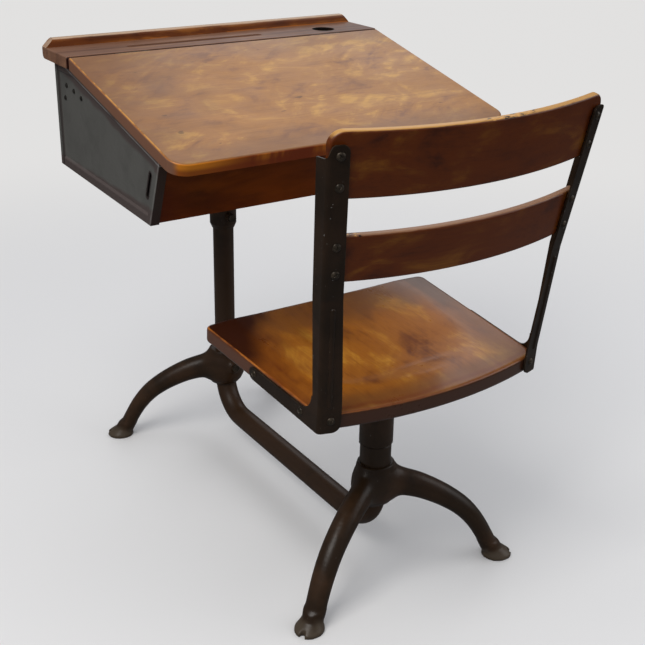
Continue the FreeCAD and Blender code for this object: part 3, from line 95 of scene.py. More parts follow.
class DeskSizes(bpy.types.PropertyGroup):
    """Sizes of the pieces that are modelled here."""
    casting_cell: length("Casting grid", "Cube size of the grid for working out the castings", 0.0022)
    crotch_fillet: length("Crotch fillet", "How softly the two legs of a pedestal run together", 0.034)
    hub_fillet: length("Hub fillet", "How softly a leg runs into its hub", 0.02)
    pad_fillet: length("Toe fillet", "How softly a leg runs into its toe pad", 0.007)
    seat_cell: length("Seat grid", "Cube size of the grid for working out the seat", 0.0026)
    seat_round: length("Seat edge", "Rounding of the seat's upper edge", 0.0045)
    saddle_depth: length("Saddle depth", "Depth of the saddle below the seat's border", 0.009)
    slot_width: length("Screw slot", "Width of a screw's slot", 0.0013)
    slot_depth: length("Slot depth", "Depth of a screw's slot", 0.0011)


# each wood's light figure, its own colour and its dark figure, as a screen shows them
WOODS = {
    "lid": ("Lid", "lid", (202, 150, 66), (168, 114, 54), (134, 86, 50)),
    "strip": ("Strip", "strip", (156, 114, 84), (128, 92, 72), (94, 62, 46)),
    "rail": ("Rail", "back rail", (144, 84, 24), (106, 52, 13), (66, 26, 7)),
    "red": ("Red wood", "dark varnished boards", (122, 54, 10), (86, 28, 4), (54, 15, 3)),
    "slat": ("Slat", "slats", (130, 78, 20), (97, 42, 5), (64, 25, 8)),
    "seat": ("Seat", "saddle", (208, 146, 48), (162, 96, 26), (100, 44, 12)),
}
TONES = ("light", "middle", "dark")


class DeskColours(bpy.types.PropertyGroup):
    """Colours of the finishes."""
    # mauve bloom of the old varnish, also a painted sheen of the room on the lid's left, rear and front
    lid_bloom_and_sheen: colour("Lid, bloom", "Mauve-brown bloom of the old varnish", 120, 84, 60)
    # rubbed orange on edges, also a painted highlight on the seat's left lip
    orange_rub_and_highlight: colour("Rubbed edge", "Rubbed orange edge of the varnished boards", 178, 104, 34)
    lid_face: colour("Lid, front face", "Orange-brown of the lid's edge faces", 118, 44, 2)
    # amber patches on the lid's edge faces, stronger on their upper half as a painted highlight
    face_amber: colour("Lid, amber face", "Amber patches on the lid's edge faces", 212, 128, 26)
    # painted shade: a greyer brown on the lid's left side faces
    lid_left_side_shade: colour("Lid, side face", "Brown of the lid's side faces", 126, 88, 68)
    # paler upper edge of the rail: wear and painted sheen
    rail_top_wear_and_sheen: colour("Bleached edge", "Varnish bleached on the rail's upper edge", 196, 166, 138)
    # gold line along the lid's left edge: wear, and a painted highlight where the edge faces left
    lid_gold_wear_and_highlight: colour("Lid, gold line", "Bare wood on the lid's left edge", 198, 142, 70)
    # amber of the apron in patches, and as painted light towards its lower edge
    red_amber_and_light: colour("Red wood, amber", "Amber patches of the apron", 140, 66, 6)
    bare_wood: colour("Bare wood", "Wood rubbed bare on an edge", 196, 146, 80)
    seat_border: colour("Seat, border", "Red-brown varnish of the seat's rim", 108, 48, 24)
    # mauve bloom round the saddle, also a painted sheen on the seat's right, rear and front
    seat_bloom_and_sheen: colour("Seat, bloom", "Mauve-brown varnish round the saddle", 112, 68, 34)
    seat_side: colour("Seat, edge face", "Dark brown of the seat's edge faces", 68, 40, 26)
    panel: colour("Panel enamel", "Grey enamel of the box", 94, 93, 89)
    panel_border: colour("Panel, border", "Browner enamel along the panels' slope and bottom", 82, 70, 67)
    # rubbed enamel on edges, and painted highlights under the lid, along a ridge and on the top edge
    panel_rub_and_highlight: colour("Panel, rubbed", "Rubbed enamel on the box's edges", 150, 146, 142)
    enamel: colour("Dark enamel", "Dark enamel of tube, castings and uprights", 43, 29, 15)
    enamel_brown: colour("Dark enamel, brown", "Brown bloom in the dark enamel", 64, 43, 26)
    enamel_rubbed: colour("Dark enamel, rubbed", "Rubbed enamel on edges and toes", 88, 76, 62)
    steel: colour("Steel", "Screws and hinges", 120, 112, 100)


DeskColours.__annotations__.update({
    f"{key}_{tone}": colour(f"{label}, {tone}", f"{tone.capitalize()} colour of the {words}", *shown)
    for key, (label, words, *shades) in WOODS.items() for tone, shown in zip(TONES, shades)})


class DeskStage(bpy.types.PropertyGroup):
    """Floor, sky and lamps."""
    floor: colour("Floor", "Colour of the floor", 232, 231, 230)
    bounce: number("Floor bounce", "Share of light that the floor gives back", 0.22, max=1.0)
    world_light: number("Sky", "Strength of the even light", 0.62)
    sheen: number("Sheen", "Strength of the sky in reflections", 0.12)
    key_power: number("Key lamp", "Lamp above, to the left", 34.0, subtype="POWER", unit="POWER")
    fill_power: number("Fill lamp", "Lamp to the right", 12.0, subtype="POWER", unit="POWER")
    back_power: number("Back lamp", "Lamp behind the desk", 9.0, subtype="POWER", unit="POWER")


# ---- distances and skins

def soft_min(first, second, reach):
    """The smaller of two distances, rounded where they differ by less than reach: a fillet."""
    part = np.maximum(reach - np.abs(first - second), 0) / reach
    return np.minimum(first, second) - part * part * reach / 4


def soft_max(first, second, reach):
    """The larger of two distances, rounded where they differ by less than reach: a rounded edge."""
    return -soft_min(-first, -second, reach)


def skin(field, low, high, cell):
    """Points and faces of the surface where a signed distance is nought.

    The distance is worked out at every fourth corner of a grid of cubes, and at all corners where
    that is under eight cells. Each cube that the surface passes through gets one point, the mean of
    the places where its edges are crossed, and each crossed edge joins the four cubes round it with
    one face. The points then slide along the distance's slope until they lie on the surface."""
    low = np.array(low, float) - 2.5 * cell
    counts = np.ceil((np.array(high, float) + 2.5 * cell - low) / cell).astype(int) + 1
    axes = [low[axis] + cell * np.arange(counts[axis]) for axis in range(3)]
    grid = np.stack(np.meshgrid(*axes, indexing="ij"), -1)
    coarse = field(grid[::4, ::4, ::4].reshape(-1, 3)).reshape((counts + 3) // 4)
    value = coarse.repeat(4, 0).repeat(4, 1).repeat(4, 2)[:counts[0], :counts[1], :counts[2]]
    near = np.abs(value) < 8 * cell
    value[near] = field(grid[near])
    total, hits = np.zeros((*(counts - 1), 3)), np.zeros(counts - 1)
    edges = []
    for axis in range(3):
        start, end = np.delete(value, -1, axis), np.delete(value, 0, axis)
        crossed = (start < 0) != (end < 0)
        share = np.where(crossed, start / np.where(crossed, start - end, 1), 0)
        point = np.delete(grid, -1, axis)
        point[..., axis] += share * cell
        edges.append((axis, crossed, start < 0))
        across, beyond = (axis + 1) % 3, (axis + 2) % 3
        for step_a, step_b in np.ndindex(2, 2):
            part = [slice(None)] * 3
            part[across] = slice(step_a, step_a + counts[across] - 1)
            part[beyond] = slice(step_b, step_b + counts[beyond] - 1)
            part = tuple(part)
            total += point[part] * crossed[part][..., None]
            hits += crossed[part]
    active = hits > 0
    index = np.full(active.shape, -1)
    index[active] = np.arange(active.sum())
    points = total[active] / hits[active][:, None]
    faces = []
    for axis, crossed, inside in edges:
        across, beyond = (axis + 1) % 3, (axis + 2) % 3
        found = np.argwhere(crossed)
        corners = []
        for step_a, step_b in ((1, 1), (0, 1), (0, 0), (1, 0)):
            shifted = found.copy()
            shifted[:, across] -= step_a
            shifted[:, beyond] -= step_b
            corners.append(index[tuple(shifted.T)])
        quads = np.stack(corners, 1)
        flipped = ~inside[tuple(found.T)]
        quads[flipped] = quads[flipped][:, ::-1]
        faces.append(quads)
    probe = cell * 0.1
    offsets = np.eye(3) * probe
    for _ in range(4):
        slope = np.stack([field(points + offset) - field(points - offset) for offset in offsets], 1)
        slope /= 2 * probe
        move = slope * (field(points) / np.maximum((slope ** 2).sum(1), 0.05))[:, None]
        size = np.linalg.norm(move, axis=1, keepdims=True)
        points = points - move * np.minimum(1, cell * 0.5 / np.maximum(size, 1e-9))
    return points, np.concatenate(faces)


def added(name, data):
    """A new object in the scene for a mesh, a lamp or a camera."""
    obj = bpy.data.objects.new(name, data)
    bpy.context.scene.collection.objects.link(obj)
    return obj


def piece(name, points, faces, material, body, slot, *nodes):
    """A smooth mesh of quads that rides on a body and stands for CAD nodes."""
    mesh = bpy.data.meshes.new(name)
    mesh.from_pydata(points, [], faces, shade_flat=False)
    if mesh.validate(verbose=False):
        raise RuntimeError(f"{name}: the mesh had faults")
    mesh.materials.append(material)
    obj = added(name, mesh)
    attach(obj, body)
    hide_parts(*nodes)


# ---- shader maths

class Signal:
    """One output of a shader tree; arithmetic on it adds Math nodes."""

    def __init__(self, tree, socket=None):
        self.tree = tree
        self.socket = socket

    def node(self, kind, sockets=None, out=0, **settings):
        """Adds a node, sets it up, fills or links its sockets, and returns one of its outputs."""
        made = self.tree.nodes.new("ShaderNode" + kind)
        for name, value in settings.items():
            setattr(made, name, value)
        for key, value in (sockets or {}).items():
            if isinstance(value, Signal):
                self.tree.links.new(value.socket, made.inputs[key])
            else:
                made.inputs[key].default_value = value
        return Signal(self.tree, None if out is None else made.outputs[out])

    def math(self, operation, *values):
        return self.node("Math", dict(enumerate(values)), operation=operation)

    def vector(self, operation, *values, out="Vector"):
        return self.node("VectorMath", dict(enumerate(values)), out, operation=operation)

    def __add__(self, other):
        return self.math("ADD", self, other)

    __radd__ = __add__

    def __sub__(self, other):
        return self.math("SUBTRACT", self, other)

    def __rsub__(self, other):
        return self.math("SUBTRACT", other, self)

    def __mul__(self, other):
        return self.math("MULTIPLY", self, other)

    __rmul__ = __mul__

    def __abs__(self):
        return self.math("ABSOLUTE", self)

    def largest(self, *others):
        """The largest of the signal and the others."""
        best = self
        for other in others:
            best = self.math("MAXIMUM", best, other)
        return best

    def step(self, low, high):
        """Rises smoothly from nought to one as the signal goes from low to high."""
        return self.node("MapRange", {"Value": self, "From Min": low, "From Max": high},
                         interpolation_type="SMOOTHSTEP")

    def stretched(self, *shares):
        return self.vector("MULTIPLY", self, shares)

    def dot(self, direction):
        return self.vector("DOT_PRODUCT", self, direction, out="Value")

    def length(self):
        return self.vector("LENGTH", self, out="Value")

    def noise(self, counts, detail=2, rough=0.5, warp=0, out="Fac"):
        """Noise round a half, with so many swells in a metre along each axis."""
        return self.node("TexNoise", {"Vector": self.stretched(*counts), "Scale": 1.0, "Detail": detail,
                                      "Roughness": rough, "Distortion": warp}, out)

    def parts(self):
        split = self.node("SeparateXYZ", {0: self}).socket.node
        return [Signal(self.tree, output) for output in split.outputs]

    def mix(self, first, second):
        """The first colour where the signal is nought, the second where it is one. For colours a Mix
        node's sockets are 0, 6 and 7, and its output is 2."""
        ends = [value if isinstance(value, Signal) else (*value, 1.0) for value in (first, second)]
        return self.node("Mix", {0: self, 6: ends[0], 7: ends[1]}, 2, data_type="RGBA")


def layered(colour, *layers):
    """A colour under layers, each a mask and the colour that shows where the mask is one."""
    for mask, tint in layers:
        colour = mask.mix(colour, tint)
    return colour


def begin(name):
    """A new material, and the start of its shader maths."""
    material = bpy.data.materials.new(name)
    material.use_nodes = True
    return material, Signal(material.node_tree)


def finish(material, varying, constants):
    """Links what varies to the material's Principled shader and sets what doesn't. Height stands for
    a bump: its height, strength and distance."""
    tree = material.node_tree
    shader = next(node for node in tree.nodes if node.type == "BSDF_PRINCIPLED")
    for key, value in constants.items():
        shader.inputs[key].default_value = value
    for key, value in varying.items():
        if key == "Height":
            height, strength, distance = value
            value = height.node("Bump", {"Strength": strength, "Distance": distance, "Height": height})
            key = "Normal"
        tree.links.new(value.socket, shader.inputs[key])
    return material


def place(root):
    """Where a point is on its piece, in metres."""
    return root.node("TexCoord", out="Object")


def toward(root, direction):
    """How far a point's surface faces a direction: one when it does, minus one when it faces away."""
    return root.node("TexCoord", out="Normal").dot(direction)


def worn_edge(root, radius, low, high):
    """One on the piece's edges: where the surface's slope differs from its mean over a radius."""
    rounded = root.node("Bevel", {"Radius": radius}, samples=6)
    plain = root.node("NewGeometry", out="Normal")
    return (1 - rounded.dot(plain)).step(low, high)


def fibres(root, grain):
    """Place with the grain's direction first, and the same bent a little, as wood fibres run."""
    x, y, z = place(root).parts()
    ordered = (x, y, z) if grain == "x" else (y, x, z)
    straight = root.node("CombineXYZ", dict(enumerate(ordered)))
    bend = straight.noise((2.4, 7, 7), out="Color").stretched(0.02, 0.035, 0.02)
    return straight, straight.vector("ADD", straight, bend)


def turned(vector, degrees):
    """A place turned about the vertical."""
    sockets = {"Vector": vector, "Angle": math.radians(degrees)}
    return vector.node("VectorRotate", sockets, rotation_type="Z_AXIS")


GLOSS = {"IOR": 1.5, "Specular IOR Level": 0.35}


def wood(name, light, middle, dark, grain="x", rough=0.36, cloud=1.5, clouds=(5.5, 11), flame=0.8,
         wisps=(9, 42), lines=0.5, coat=0.3, coat_rough=0.18, extra=None):
    """Varnished wood: clouds of lighter figure, wisps that cross the grain at a slant, and growth lines
    and fine fibres along the grain. Clouds and wisps come with their count in a metre along and across."""
    material, root = begin(name)
    straight, bent = fibres(root, grain)
    mottle = bent.noise((*clouds, clouds[1]), detail=5, rough=0.6, warp=0.8)
    slant = turned(bent, -35).noise((*wisps, wisps[1]), detail=3, rough=0.55, warp=0.7)
    where = bent.noise((3.1, 4.7, 4), detail=1).step(0.4, 0.6)
    growth = bent.noise((1.7, 90, 70), detail=4, rough=0.62)
    fine = bent.noise((11, 640, 520), detail=3, rough=0.7)
    tone = (mottle - 0.5) * cloud + (slant - 0.5) * flame * where + (growth - 0.5) * lines + 0.5
    colour = tone.step(0.12, 0.5).mix(dark, middle)
    colour = tone.step(0.5, 0.86).mix(colour, light)
    colour = (fine.step(0.48, 0.74) * 0.3).mix(colour, dimmed(dark, 0.55))
    if extra:
        colour = extra(root, straight, bent, colour)
    dull = straight.noise((9, 15, 15), detail=5, rough=0.68)
    gloss = (dull - 0.5) * 0.34 + fine.step(0.45, 0.8) * 0.05 + rough
    height = fine * 0.4 + dull
    return finish(material, {"Base Color": colour, "Roughness": gloss, "Height": (height, 0.14, 0.0006)},
                  {"Coat Weight": coat, "Coat Roughness": coat_rough, **GLOSS})


def enamel(name, base, bloom, rubbed, rough, edge_radius, edge_reach=(0.03, 0.3), chips=0.6,
           streaks=0.0, lump=0.0006, bloom_at=(0.45, 0.66), extra=None):
    """Old enamel on iron: brown bloom, paler rubbed edges, small pale chips and a slightly lumpy coat."""
    material, root = begin(name)
    where = place(root)
    cloud = where.noise((11, 11, 11), detail=4, rough=0.6, warp=0.4)
    colour = (cloud.step(*bloom_at) * 0.8).mix(base, bloom)
    if streaks:
        run = where.noise((120, 120, 6), detail=3, rough=0.7)
        colour = (run.step(0.5, 0.72) * streaks).mix(colour, dimmed(base, 1.9))
    ragged = where.noise((60, 60, 60), detail=4, rough=0.7)
    rub = worn_edge(root, edge_radius, *edge_reach) * ragged.step(0.42, 0.62)
    colour = (rub * 0.6).mix(colour, rubbed)
    speck = where.noise((330, 330, 240), rough=0.4)
    chip = speck.step(0.75, 0.78) * chips
    colour = chip.mix(colour, tuple(0.3 + 0.5 * value for value in rubbed))
    if extra:
        colour = extra(root, where, colour)
    dull = where.noise((28, 28, 28), detail=4, rough=0.6)
    gloss = (dull - 0.5) * 0.3 + rub * 0.12 + rough
    lumps = where.noise((70, 70, 70), detail=3, rough=0.5)
    height = lumps + dull * 0.5 - chip * 0.8
    return finish(material, {"Base Color": colour, "Roughness": gloss, "Height": (height, 0.35, lump)},
                  GLOSS)


def bare_steel(name, base, rough=0.42, metallic=0.75):
    """Darkened steel with a mottled tarnish."""
    material, root = begin(name)
    where = place(root)
    cloud = where.noise((160, 160, 160), detail=4, rough=0.6)
    colour = cloud.step(0.35, 0.7).mix(dimmed(base, 0.35), base)
    rub = worn_edge(root, 0.0012, 0.02, 0.2)
    colour = (rub * 0.5).mix(colour, tuple(min(1.0, value * 1.8) for value in base))
    gloss = (cloud - 0.5) * 0.3 + rough
    return finish(material, {"Base Color": colour, "Roughness": gloss, "Height": (cloud, 0.2, 0.0002)},
                  {"Metallic": metallic})


# ---- castings

# a leg from its post outwards: share of its reach, height as a share of the hub's top,
# half depth and half width as shares of the hub's radius
LEG = np.array([
    (0.03, 0.82, 1.08, 0.81), (0.20, 0.79, 0.92, 0.77), (0.32, 0.76, 0.84, 0.76),
    (0.42, 0.71, 0.78, 0.75), (0.52, 0.655, 0.73, 0.74), (0.61, 0.59, 0.68, 0.73),
    (0.69, 0.525, 0.65, 0.72), (0.76, 0.44, 0.61, 0.71), (0.82, 0.35, 0.58, 0.69),
    (0.865, 0.26, 0.56, 0.67), (0.925, 0.13, 0.54, 0.65)])
# a toe pad: height and distance inside the foot's point as shares of its length, size as a share
PAD = np.array([(0, 0, 1.0), (0.10, 0, 1.0), (0.20, 0.06, 0.86), (0.34, 0.18, 0.71), (0.56, 0.29, 0.66)])
# the hub: share of its height, and what is added to its radius
HUB = np.array([
    (0, -0.003), (0.06, 0.0015), (0.2, 0.005), (0.4, 0.006), (0.61, 0.004), (0.75, 0.001),
    (0.84, -0.001), (0.88, 0), (1, 0)])
HUB_TOP, HUB_BOTTOM, HUB_RADIUS = 0.190, 0.121, 0.026
FOOT = np.array((0.189, 0.102, 0.0))
PAD_LENGTH, PAD_WIDTH = 0.050, 0.046
# a pad's notch: its width, how far its round end is centred inside the pad's end as a share of that
# width, and its height as a share of the pad's length
NOTCH, NOTCH_INSIDE, NOTCH_TALL = 0.008, 0.4, 0.24
# the boss of the set screw: its radius, how far it stands out of the hub and how far above its middle
BOSS_RADIUS, BOSS_OUT, BOSS_RISE = 0.009, 0.012, 0.004
DESK_POST, SEAT_POST = 0.304, -0.204


def smooth_rows(rows, count):
    """A table's rows at evenly spaced places, smoothed over their neighbours."""
    steps = np.linspace(0, len(rows) - 1, count)
    even = np.stack([np.interp(steps, np.arange(len(rows)), column) for column in rows.T], 1)
    for _ in range(6):
        even[1:-1] = (even[:-2] + 2 * even[1:-1] + even[2:]) / 4
    return even


def oval_rod(points, rod, across):
    """Signed distance to an oval rod; its rows hold a place and the half depth and half width there.

    For each stretch of the rod the nearest place on it is found, the offset is split into its part
    along the across direction and the rest, each is divided by the rod's half size there, and the
    length of that pair less one is scaled by the smaller half size. The least distance counts."""
    best = np.full(len(points), 1.0)
    for start, change in zip(rod, np.diff(rod, axis=0)):
        run = change[:3]
        offset = points - start[:3]
        share = np.clip(offset @ run / (run @ run), 0, 1)
        offset = offset - share[:, None] * run
        side = offset @ across
        rest = np.sqrt(np.maximum((offset ** 2).sum(1) - side ** 2, 0))
        deep, wide = start[3:, None] + share * change[3:, None]
        best = np.minimum(best, (np.hypot(side / wide, rest / deep) - 1) * np.minimum(deep, wide))
    return best


def pedestal_field(sizes):
    """Signed distance to a pedestal whose post stands at the origin and whose legs splay to +Y.

    Hub: distance from the post less the hub's radius at that height. Leg: an oval rod along an arch,
    the same to either side. Toe pad: an oval cone that narrows and moves inwards with height, less a
    slot with a round end. Boss: a short rod behind the hub. Fillets join them all."""
    reach = np.linalg.norm(FOOT)
    out = FOOT / reach
    across = np.array((-out[1], out[0], 0))
    rows = smooth_rows(LEG, 34)
    path = out * (rows[:, :1] * reach) + np.array((0, 0, HUB_TOP)) * rows[:, 1:2]
    rod = np.hstack((path, rows[:, 2:] * HUB_RADIUS))
    tall = HUB_TOP - HUB_BOTTOM
    boss_height = (HUB_TOP + HUB_BOTTOM) / 2 + BOSS_RISE

    def field(points):
        x, y, z = points.T
        mirrored = np.stack((np.abs(x), y, z), 1)
        leg = oval_rod(mirrored, rod, across)
        along, side = mirrored @ out, mirrored @ across
        inwards = np.interp(z / PAD_LENGTH, PAD[:, 0], PAD[:, 1]) * PAD_LENGTH
        size = np.interp(z / PAD_LENGTH, PAD[:, 0], PAD[:, 2])
        oval = np.hypot((along - reach + inwards) / (PAD_LENGTH / 2), side / (PAD_WIDTH / 2))
        pad = soft_max((oval - size) * PAD_WIDTH * 0.45, z - PAD_LENGTH * PAD[-1, 0], 0.003)
        foot = soft_min(leg, pad, sizes.pad_fillet)
        mouth = reach + PAD_LENGTH / 2 - NOTCH * NOTCH_INSIDE
        slot = np.hypot(side, np.minimum(along - mouth, 0)) - NOTCH / 2
        foot = soft_max(foot, -np.maximum(slot, z - PAD_LENGTH * NOTCH_TALL), 0.0015)
        far = oval_rod(mirrored * (-1, 1, 1), rod, across)
        legs = soft_min(foot, far, sizes.crotch_fillet)
        radius = np.hypot(x, y)
        profile = np.interp((z - HUB_BOTTOM) / tall, HUB[:, 0], HUB[:, 1]) + HUB_RADIUS
        hub = soft_max(radius - profile, np.maximum(z - HUB_TOP, HUB_BOTTOM - z), 0.003)
        boss_end = np.maximum(y, -HUB_RADIUS - BOSS_OUT - y)
        boss = soft_max(np.hypot(x, z - boss_height) - BOSS_RADIUS, boss_end, 0.002)
        hub = soft_min(hub, boss, 0.006)
        whole = soft_min(hub, legs, sizes.hub_fillet)
        return np.maximum(whole, np.maximum(-z, z - HUB_TOP))

    return field


class DESK_OT_pedestals(bpy.types.Operator):
    """Makes the two cast pedestals with their arched legs and notched toe pads"""
    bl_idname = "desk.pedestals"
    bl_label = "Pedestals"

    def execute(self, context):
        sizes, iron = context.scene.desk_sizes, FINISHES["casting"]
        spread = FOOT[0] + PAD_LENGTH
        low, high = (-spread, -0.045, 0), (spread, FOOT[1] + PAD_LENGTH, HUB_TOP)
        points, faces = skin(pedestal_field(sizes), low, high, sizes.casting_cell)
        at_desk = points + (0, DESK_POST, 0)
        at_seat = points * (-1, -1, 1) + (0, SEAT_POST, 0)
        piece("cast_pedestal_desk", at_desk, faces, iron, "base", "cast_dark", "desk_pedestal")
        piece("cast_pedestal_seat", at_seat, faces, iron, "base", "cast_dark", "seat_pedestal")
        return {"FINISHED"}


# ---- seat

# the seat board: bow is the radius of its rear edge, nose how far its front edge bulges, and border
# the width of the rim beside the saddle
SEAT = SimpleNamespace(
    height=0.412, tilt=math.radians(4), front=0.175, nose=0.009, rear=0.162, half_front=0.215,
    half_rear=0.1995, bow=0.720, thickness=0.026, border=0.054, round_rear=0.006, round_front=0.012,
    round_under=0.005)
# the saddle from rear to front: share of the seat's length, of its width and of its depth
SADDLE = np.array([
    (0.0, 0.45, 0), (0.09, 0.58, 0.02), (0.15, 0.68, 0.35), (0.22, 0.84, 0.8), (0.36, 0.97, 1),
    (0.60, 1, 0.95), (0.84, 1.03, 0.75), (1.03, 1, 0.45)])


def seat_field(sizes):
    """Signed distance to the seat board in the seat's own axes, its origin on the upper face.

    Sides are straight lines, front and rear are arcs. The upper face sinks by the saddle's depth at
    that length times 1 - |x / half width| ** 2.4, eased to nought at the rim."""
    half, rear = SEAT.half_rear, SEAT.bow
    corner = rear - math.sqrt(rear ** 2 - half ** 2) - SEAT.rear
    side_run = np.array((SEAT.half_front - half, SEAT.front - corner))
    side_run /= np.linalg.norm(side_run)
    nose = SEAT.nose
    front_radius = (SEAT.half_front ** 2 + nose ** 2) / (2 * nose)
    rows = smooth_rows(SADDLE, 60)

    def field(points):
        x, y, z = points.T
        x = np.abs(x)
        side = (x - SEAT.half_front) * side_run[1] - (y - SEAT.front) * side_run[0]
        back = np.hypot(x, y - rear + SEAT.rear) - rear
        front = np.hypot(x, y - SEAT.front - nose + front_radius) - front_radius
        rim = soft_max(soft_max(side, back, SEAT.round_rear), front, SEAT.round_front)
        share = (y - corner) / (SEAT.front - corner)
        wide = np.interp(share, rows[:, 0], rows[:, 1]) * (SEAT.half_front - SEAT.border)
        deep = np.interp(share, rows[:, 0], rows[:, 2]) * sizes.saddle_depth
        fall = 1 - np.minimum(x / wide, 1) ** 2.4
        fall = fall * fall / (fall + 0.07) * 1.07
        top = z + deep * fall
        board = soft_max(rim, top, sizes.seat_round)
        return soft_max(board, -z - SEAT.thickness, SEAT.round_under)

    return field


class DESK_OT_seat(bpy.types.Operator):
    """Makes the seat board with its bowed edges and its saddle"""
    bl_idname = "desk.seat"
    bl_label = "Seat board"

    def execute(self, context):
        sizes, reach = context.scene.desk_sizes, SEAT.half_front
        points, faces = skin(seat_field(sizes), (-reach, -SEAT.rear, -SEAT.thickness),
                             (reach, SEAT.front + SEAT.nose, 0), sizes.seat_cell)
        cos, sin = math.cos(SEAT.tilt), math.sin(SEAT.tilt)
        turn = np.array(((1, 0, 0), (0, cos, -sin), (0, sin, cos)))
        rise = SEAT.height - SEAT.front * sin
        placed = points @ turn.T + (0, SEAT_POST, rise)
        piece("saddle_seat", placed, faces, FINISHES["seat"], "seat", "seat_wood", "seat_board")
        return {"FINISHED"}


# ---- screws

# a round head: its radius, its height over the wood, its rim below that, the least gap to the next
# head's points, and the grid's cube size
HEAD_RADIUS, HEAD_HEIGHT, HEAD_RIM, HEAD_GAP, HEAD_CELL = 0.0062, 0.0029, 0.0012, 0.007, 0.00055
# a slat's bow: half the distance between its screws, and the bow's radius
SLAT_HALF, SLAT_BOW = 0.2215, 0.760
# the seat's side edge, which the arms follow: how far it runs outwards, and forwards
ARM_OUT, ARM_AHEAD = 0.0155, 0.3088


def screw_field(sizes):
    """Signed distance to a round screw head: a cap of a ball on a short rim, less a straight slot."""
    ball = (HEAD_RADIUS ** 2 + HEAD_HEIGHT ** 2) / (2 * HEAD_HEIGHT)

    def field(points):
        x, y, z = points.T
        cap = np.sqrt(x ** 2 + y ** 2 + (z - HEAD_HEIGHT + ball) ** 2) - ball
        head = soft_max(cap, np.maximum(-z - HEAD_RIM, np.hypot(x, y) - HEAD_RADIUS), 0.0006)
        slot = np.maximum(np.abs(x) - sizes.slot_width / 2, HEAD_HEIGHT - sizes.slot_depth - z)
        return soft_max(head, -slot, 0.0003)

    return field


def head_places(node, outward):
    """Where the heads of a node's screws are, and the direction that they face: its points fall into
    groups with gaps between them, and a head is at the middle of its group's outermost plane."""
    outward = np.array(outward) / np.linalg.norm(outward)
    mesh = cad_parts[node].data
    points = np.zeros(len(mesh.vertices) * 3)
    mesh.vertices.foreach_get("co", points)
    points = points.reshape(-1, 3)
    flat = points - np.outer(points @ outward, outward)
    lead = flat[:, np.argmax(np.ptp(flat, axis=0))]
    order = np.argsort(lead)
    breaks = np.nonzero(np.diff(lead[order]) > HEAD_GAP)[0] + 1
    places = []
    for group in np.split(order, breaks):
        middle = (flat[group].min(0) + flat[group].max(0)) / 2
        middle = middle - outward * (middle @ outward)
        places.append(middle + outward * (points[group] @ outward).max())
    return places, outward


class DESK_OT_screws(bpy.types.Operator):
    """Makes the slotted round heads of the seat's and the back's screws"""
    bl_idname = "desk.screws"
    bl_label = "Round-headed screws"

    def execute(self, context):
        low, high = (-HEAD_RADIUS, -HEAD_RADIUS, -HEAD_RIM), (HEAD_RADIUS, HEAD_RADIUS, HEAD_HEIGHT)
        shape, faces = skin(screw_field(context.scene.desk_sizes), low, high, HEAD_CELL)
        bow = math.asin(SLAT_HALF / SLAT_BOW)
        bowed = (math.sin(bow), -math.cos(bow), 0)
        directions = {"slat_screws": bowed, "corner_screw": bowed, "arm_screws": (ARM_AHEAD, -ARM_OUT, 0)}
        turns = np.random.default_rng(7).uniform(0, math.pi, 32)
        count = 0
        for group, (x, y, z) in directions.items():
            for word, way in (("left", -1), ("right", 1)):
                node = f"{group}_{word}"
                places, outward = head_places(node, (way * x, y, z))
                side = np.cross((0, 0, 1.0), outward)
                side /= np.linalg.norm(side)
                up = np.cross(outward, side)
                all_points, all_faces = [], []
                for middle in places:
                    turn = turns[count % len(turns)]
                    count += 1
                    first = side * math.cos(turn) + up * math.sin(turn)
                    second = np.cross(outward, first)
                    base = middle - outward * HEAD_HEIGHT
                    all_faces.append(faces + len(shape) * len(all_points))
                    all_points.append(base + shape @ np.stack((first, second, outward)))
                piece(f"{node}_heads", np.concatenate(all_points), np.concatenate(all_faces),
                      FINISHES["fastener"], "seat", "fastener", node)
        return {"FINISHED"}


# ---- finishes

FINISHES = {}
# the nodes that wear each finish; a name that ends in _ stands for a left and a right node
DRESSED = {
    "lid": ["lid"], "strip": ["top_strip"], "rail": ["back_rail"], "apron": ["front_apron"],
    "slat_lower": ["back_slat_lower"], "slat_upper": ["back_slat_upper"], "seat": ["seat_board"],
    "cleat": ["lid_cleat_"], "panel": ["box_side_", "box_bottom", "box_back", "strip_bracket_"],
    "rivet": ["bracket_rivets_"], "tube": ["frame_tube"], "upright": ["upright_"],
    "casting": ["desk_pedestal", "seat_pedestal", "desk_socket", "seat_spider", "seat_sleeve"],
    "fastener": ["pedestal_set_screws", "desk_height_screw", "desk_socket_bolts", "seat_height_screw",
                 "swivel_washer", "seat_spider_screws", "slat_screws_", "arm_screws_", "corner_screw_"],
    "hinge": ["hinge_strip_leaf_", "hinge_lid_leaf_", "hinge_pin_"],
}
# where things are on the box: the hinge line and the panels' slope edge there, the box's underside and
# back, and the upper face of the strip
LID_SLOPE = math.radians(13.1)
JOINT, SLOPE_EDGE, BOX_BOTTOM, BOX_BACK, STRIP_TOP = 0.254, 0.7742, 0.598, 0.338, 0.794
# the inkwell's middle and radius, and the pencil groove's middle and half length
INKWELL, GROOVE = (0.212, 0.294, 0.0205), (-0.051, 0.296, 0.131)
# a side panel's slot: its middle, the direction that it runs in, and half its length
SLOT, SLOT_RUN, SLOT_HALF = (-0.0134, 0.649), (0.356, 0.934), 0.019
# a side panel's front edge: how far it is before the hinge line at the box's bottom, how much further
# for each metre up, and how far behind it a painted highlight along a ridge is
FRONT_FOOT, FRONT_LEAN, RIDGE = 0.277, 0.3815, 0.0035
# how far a side panel's seam is before the box's back, and a painted highlight line below its slope edge
SEAM, HIGHLIGHT_LINE = 0.0125, 0.0128


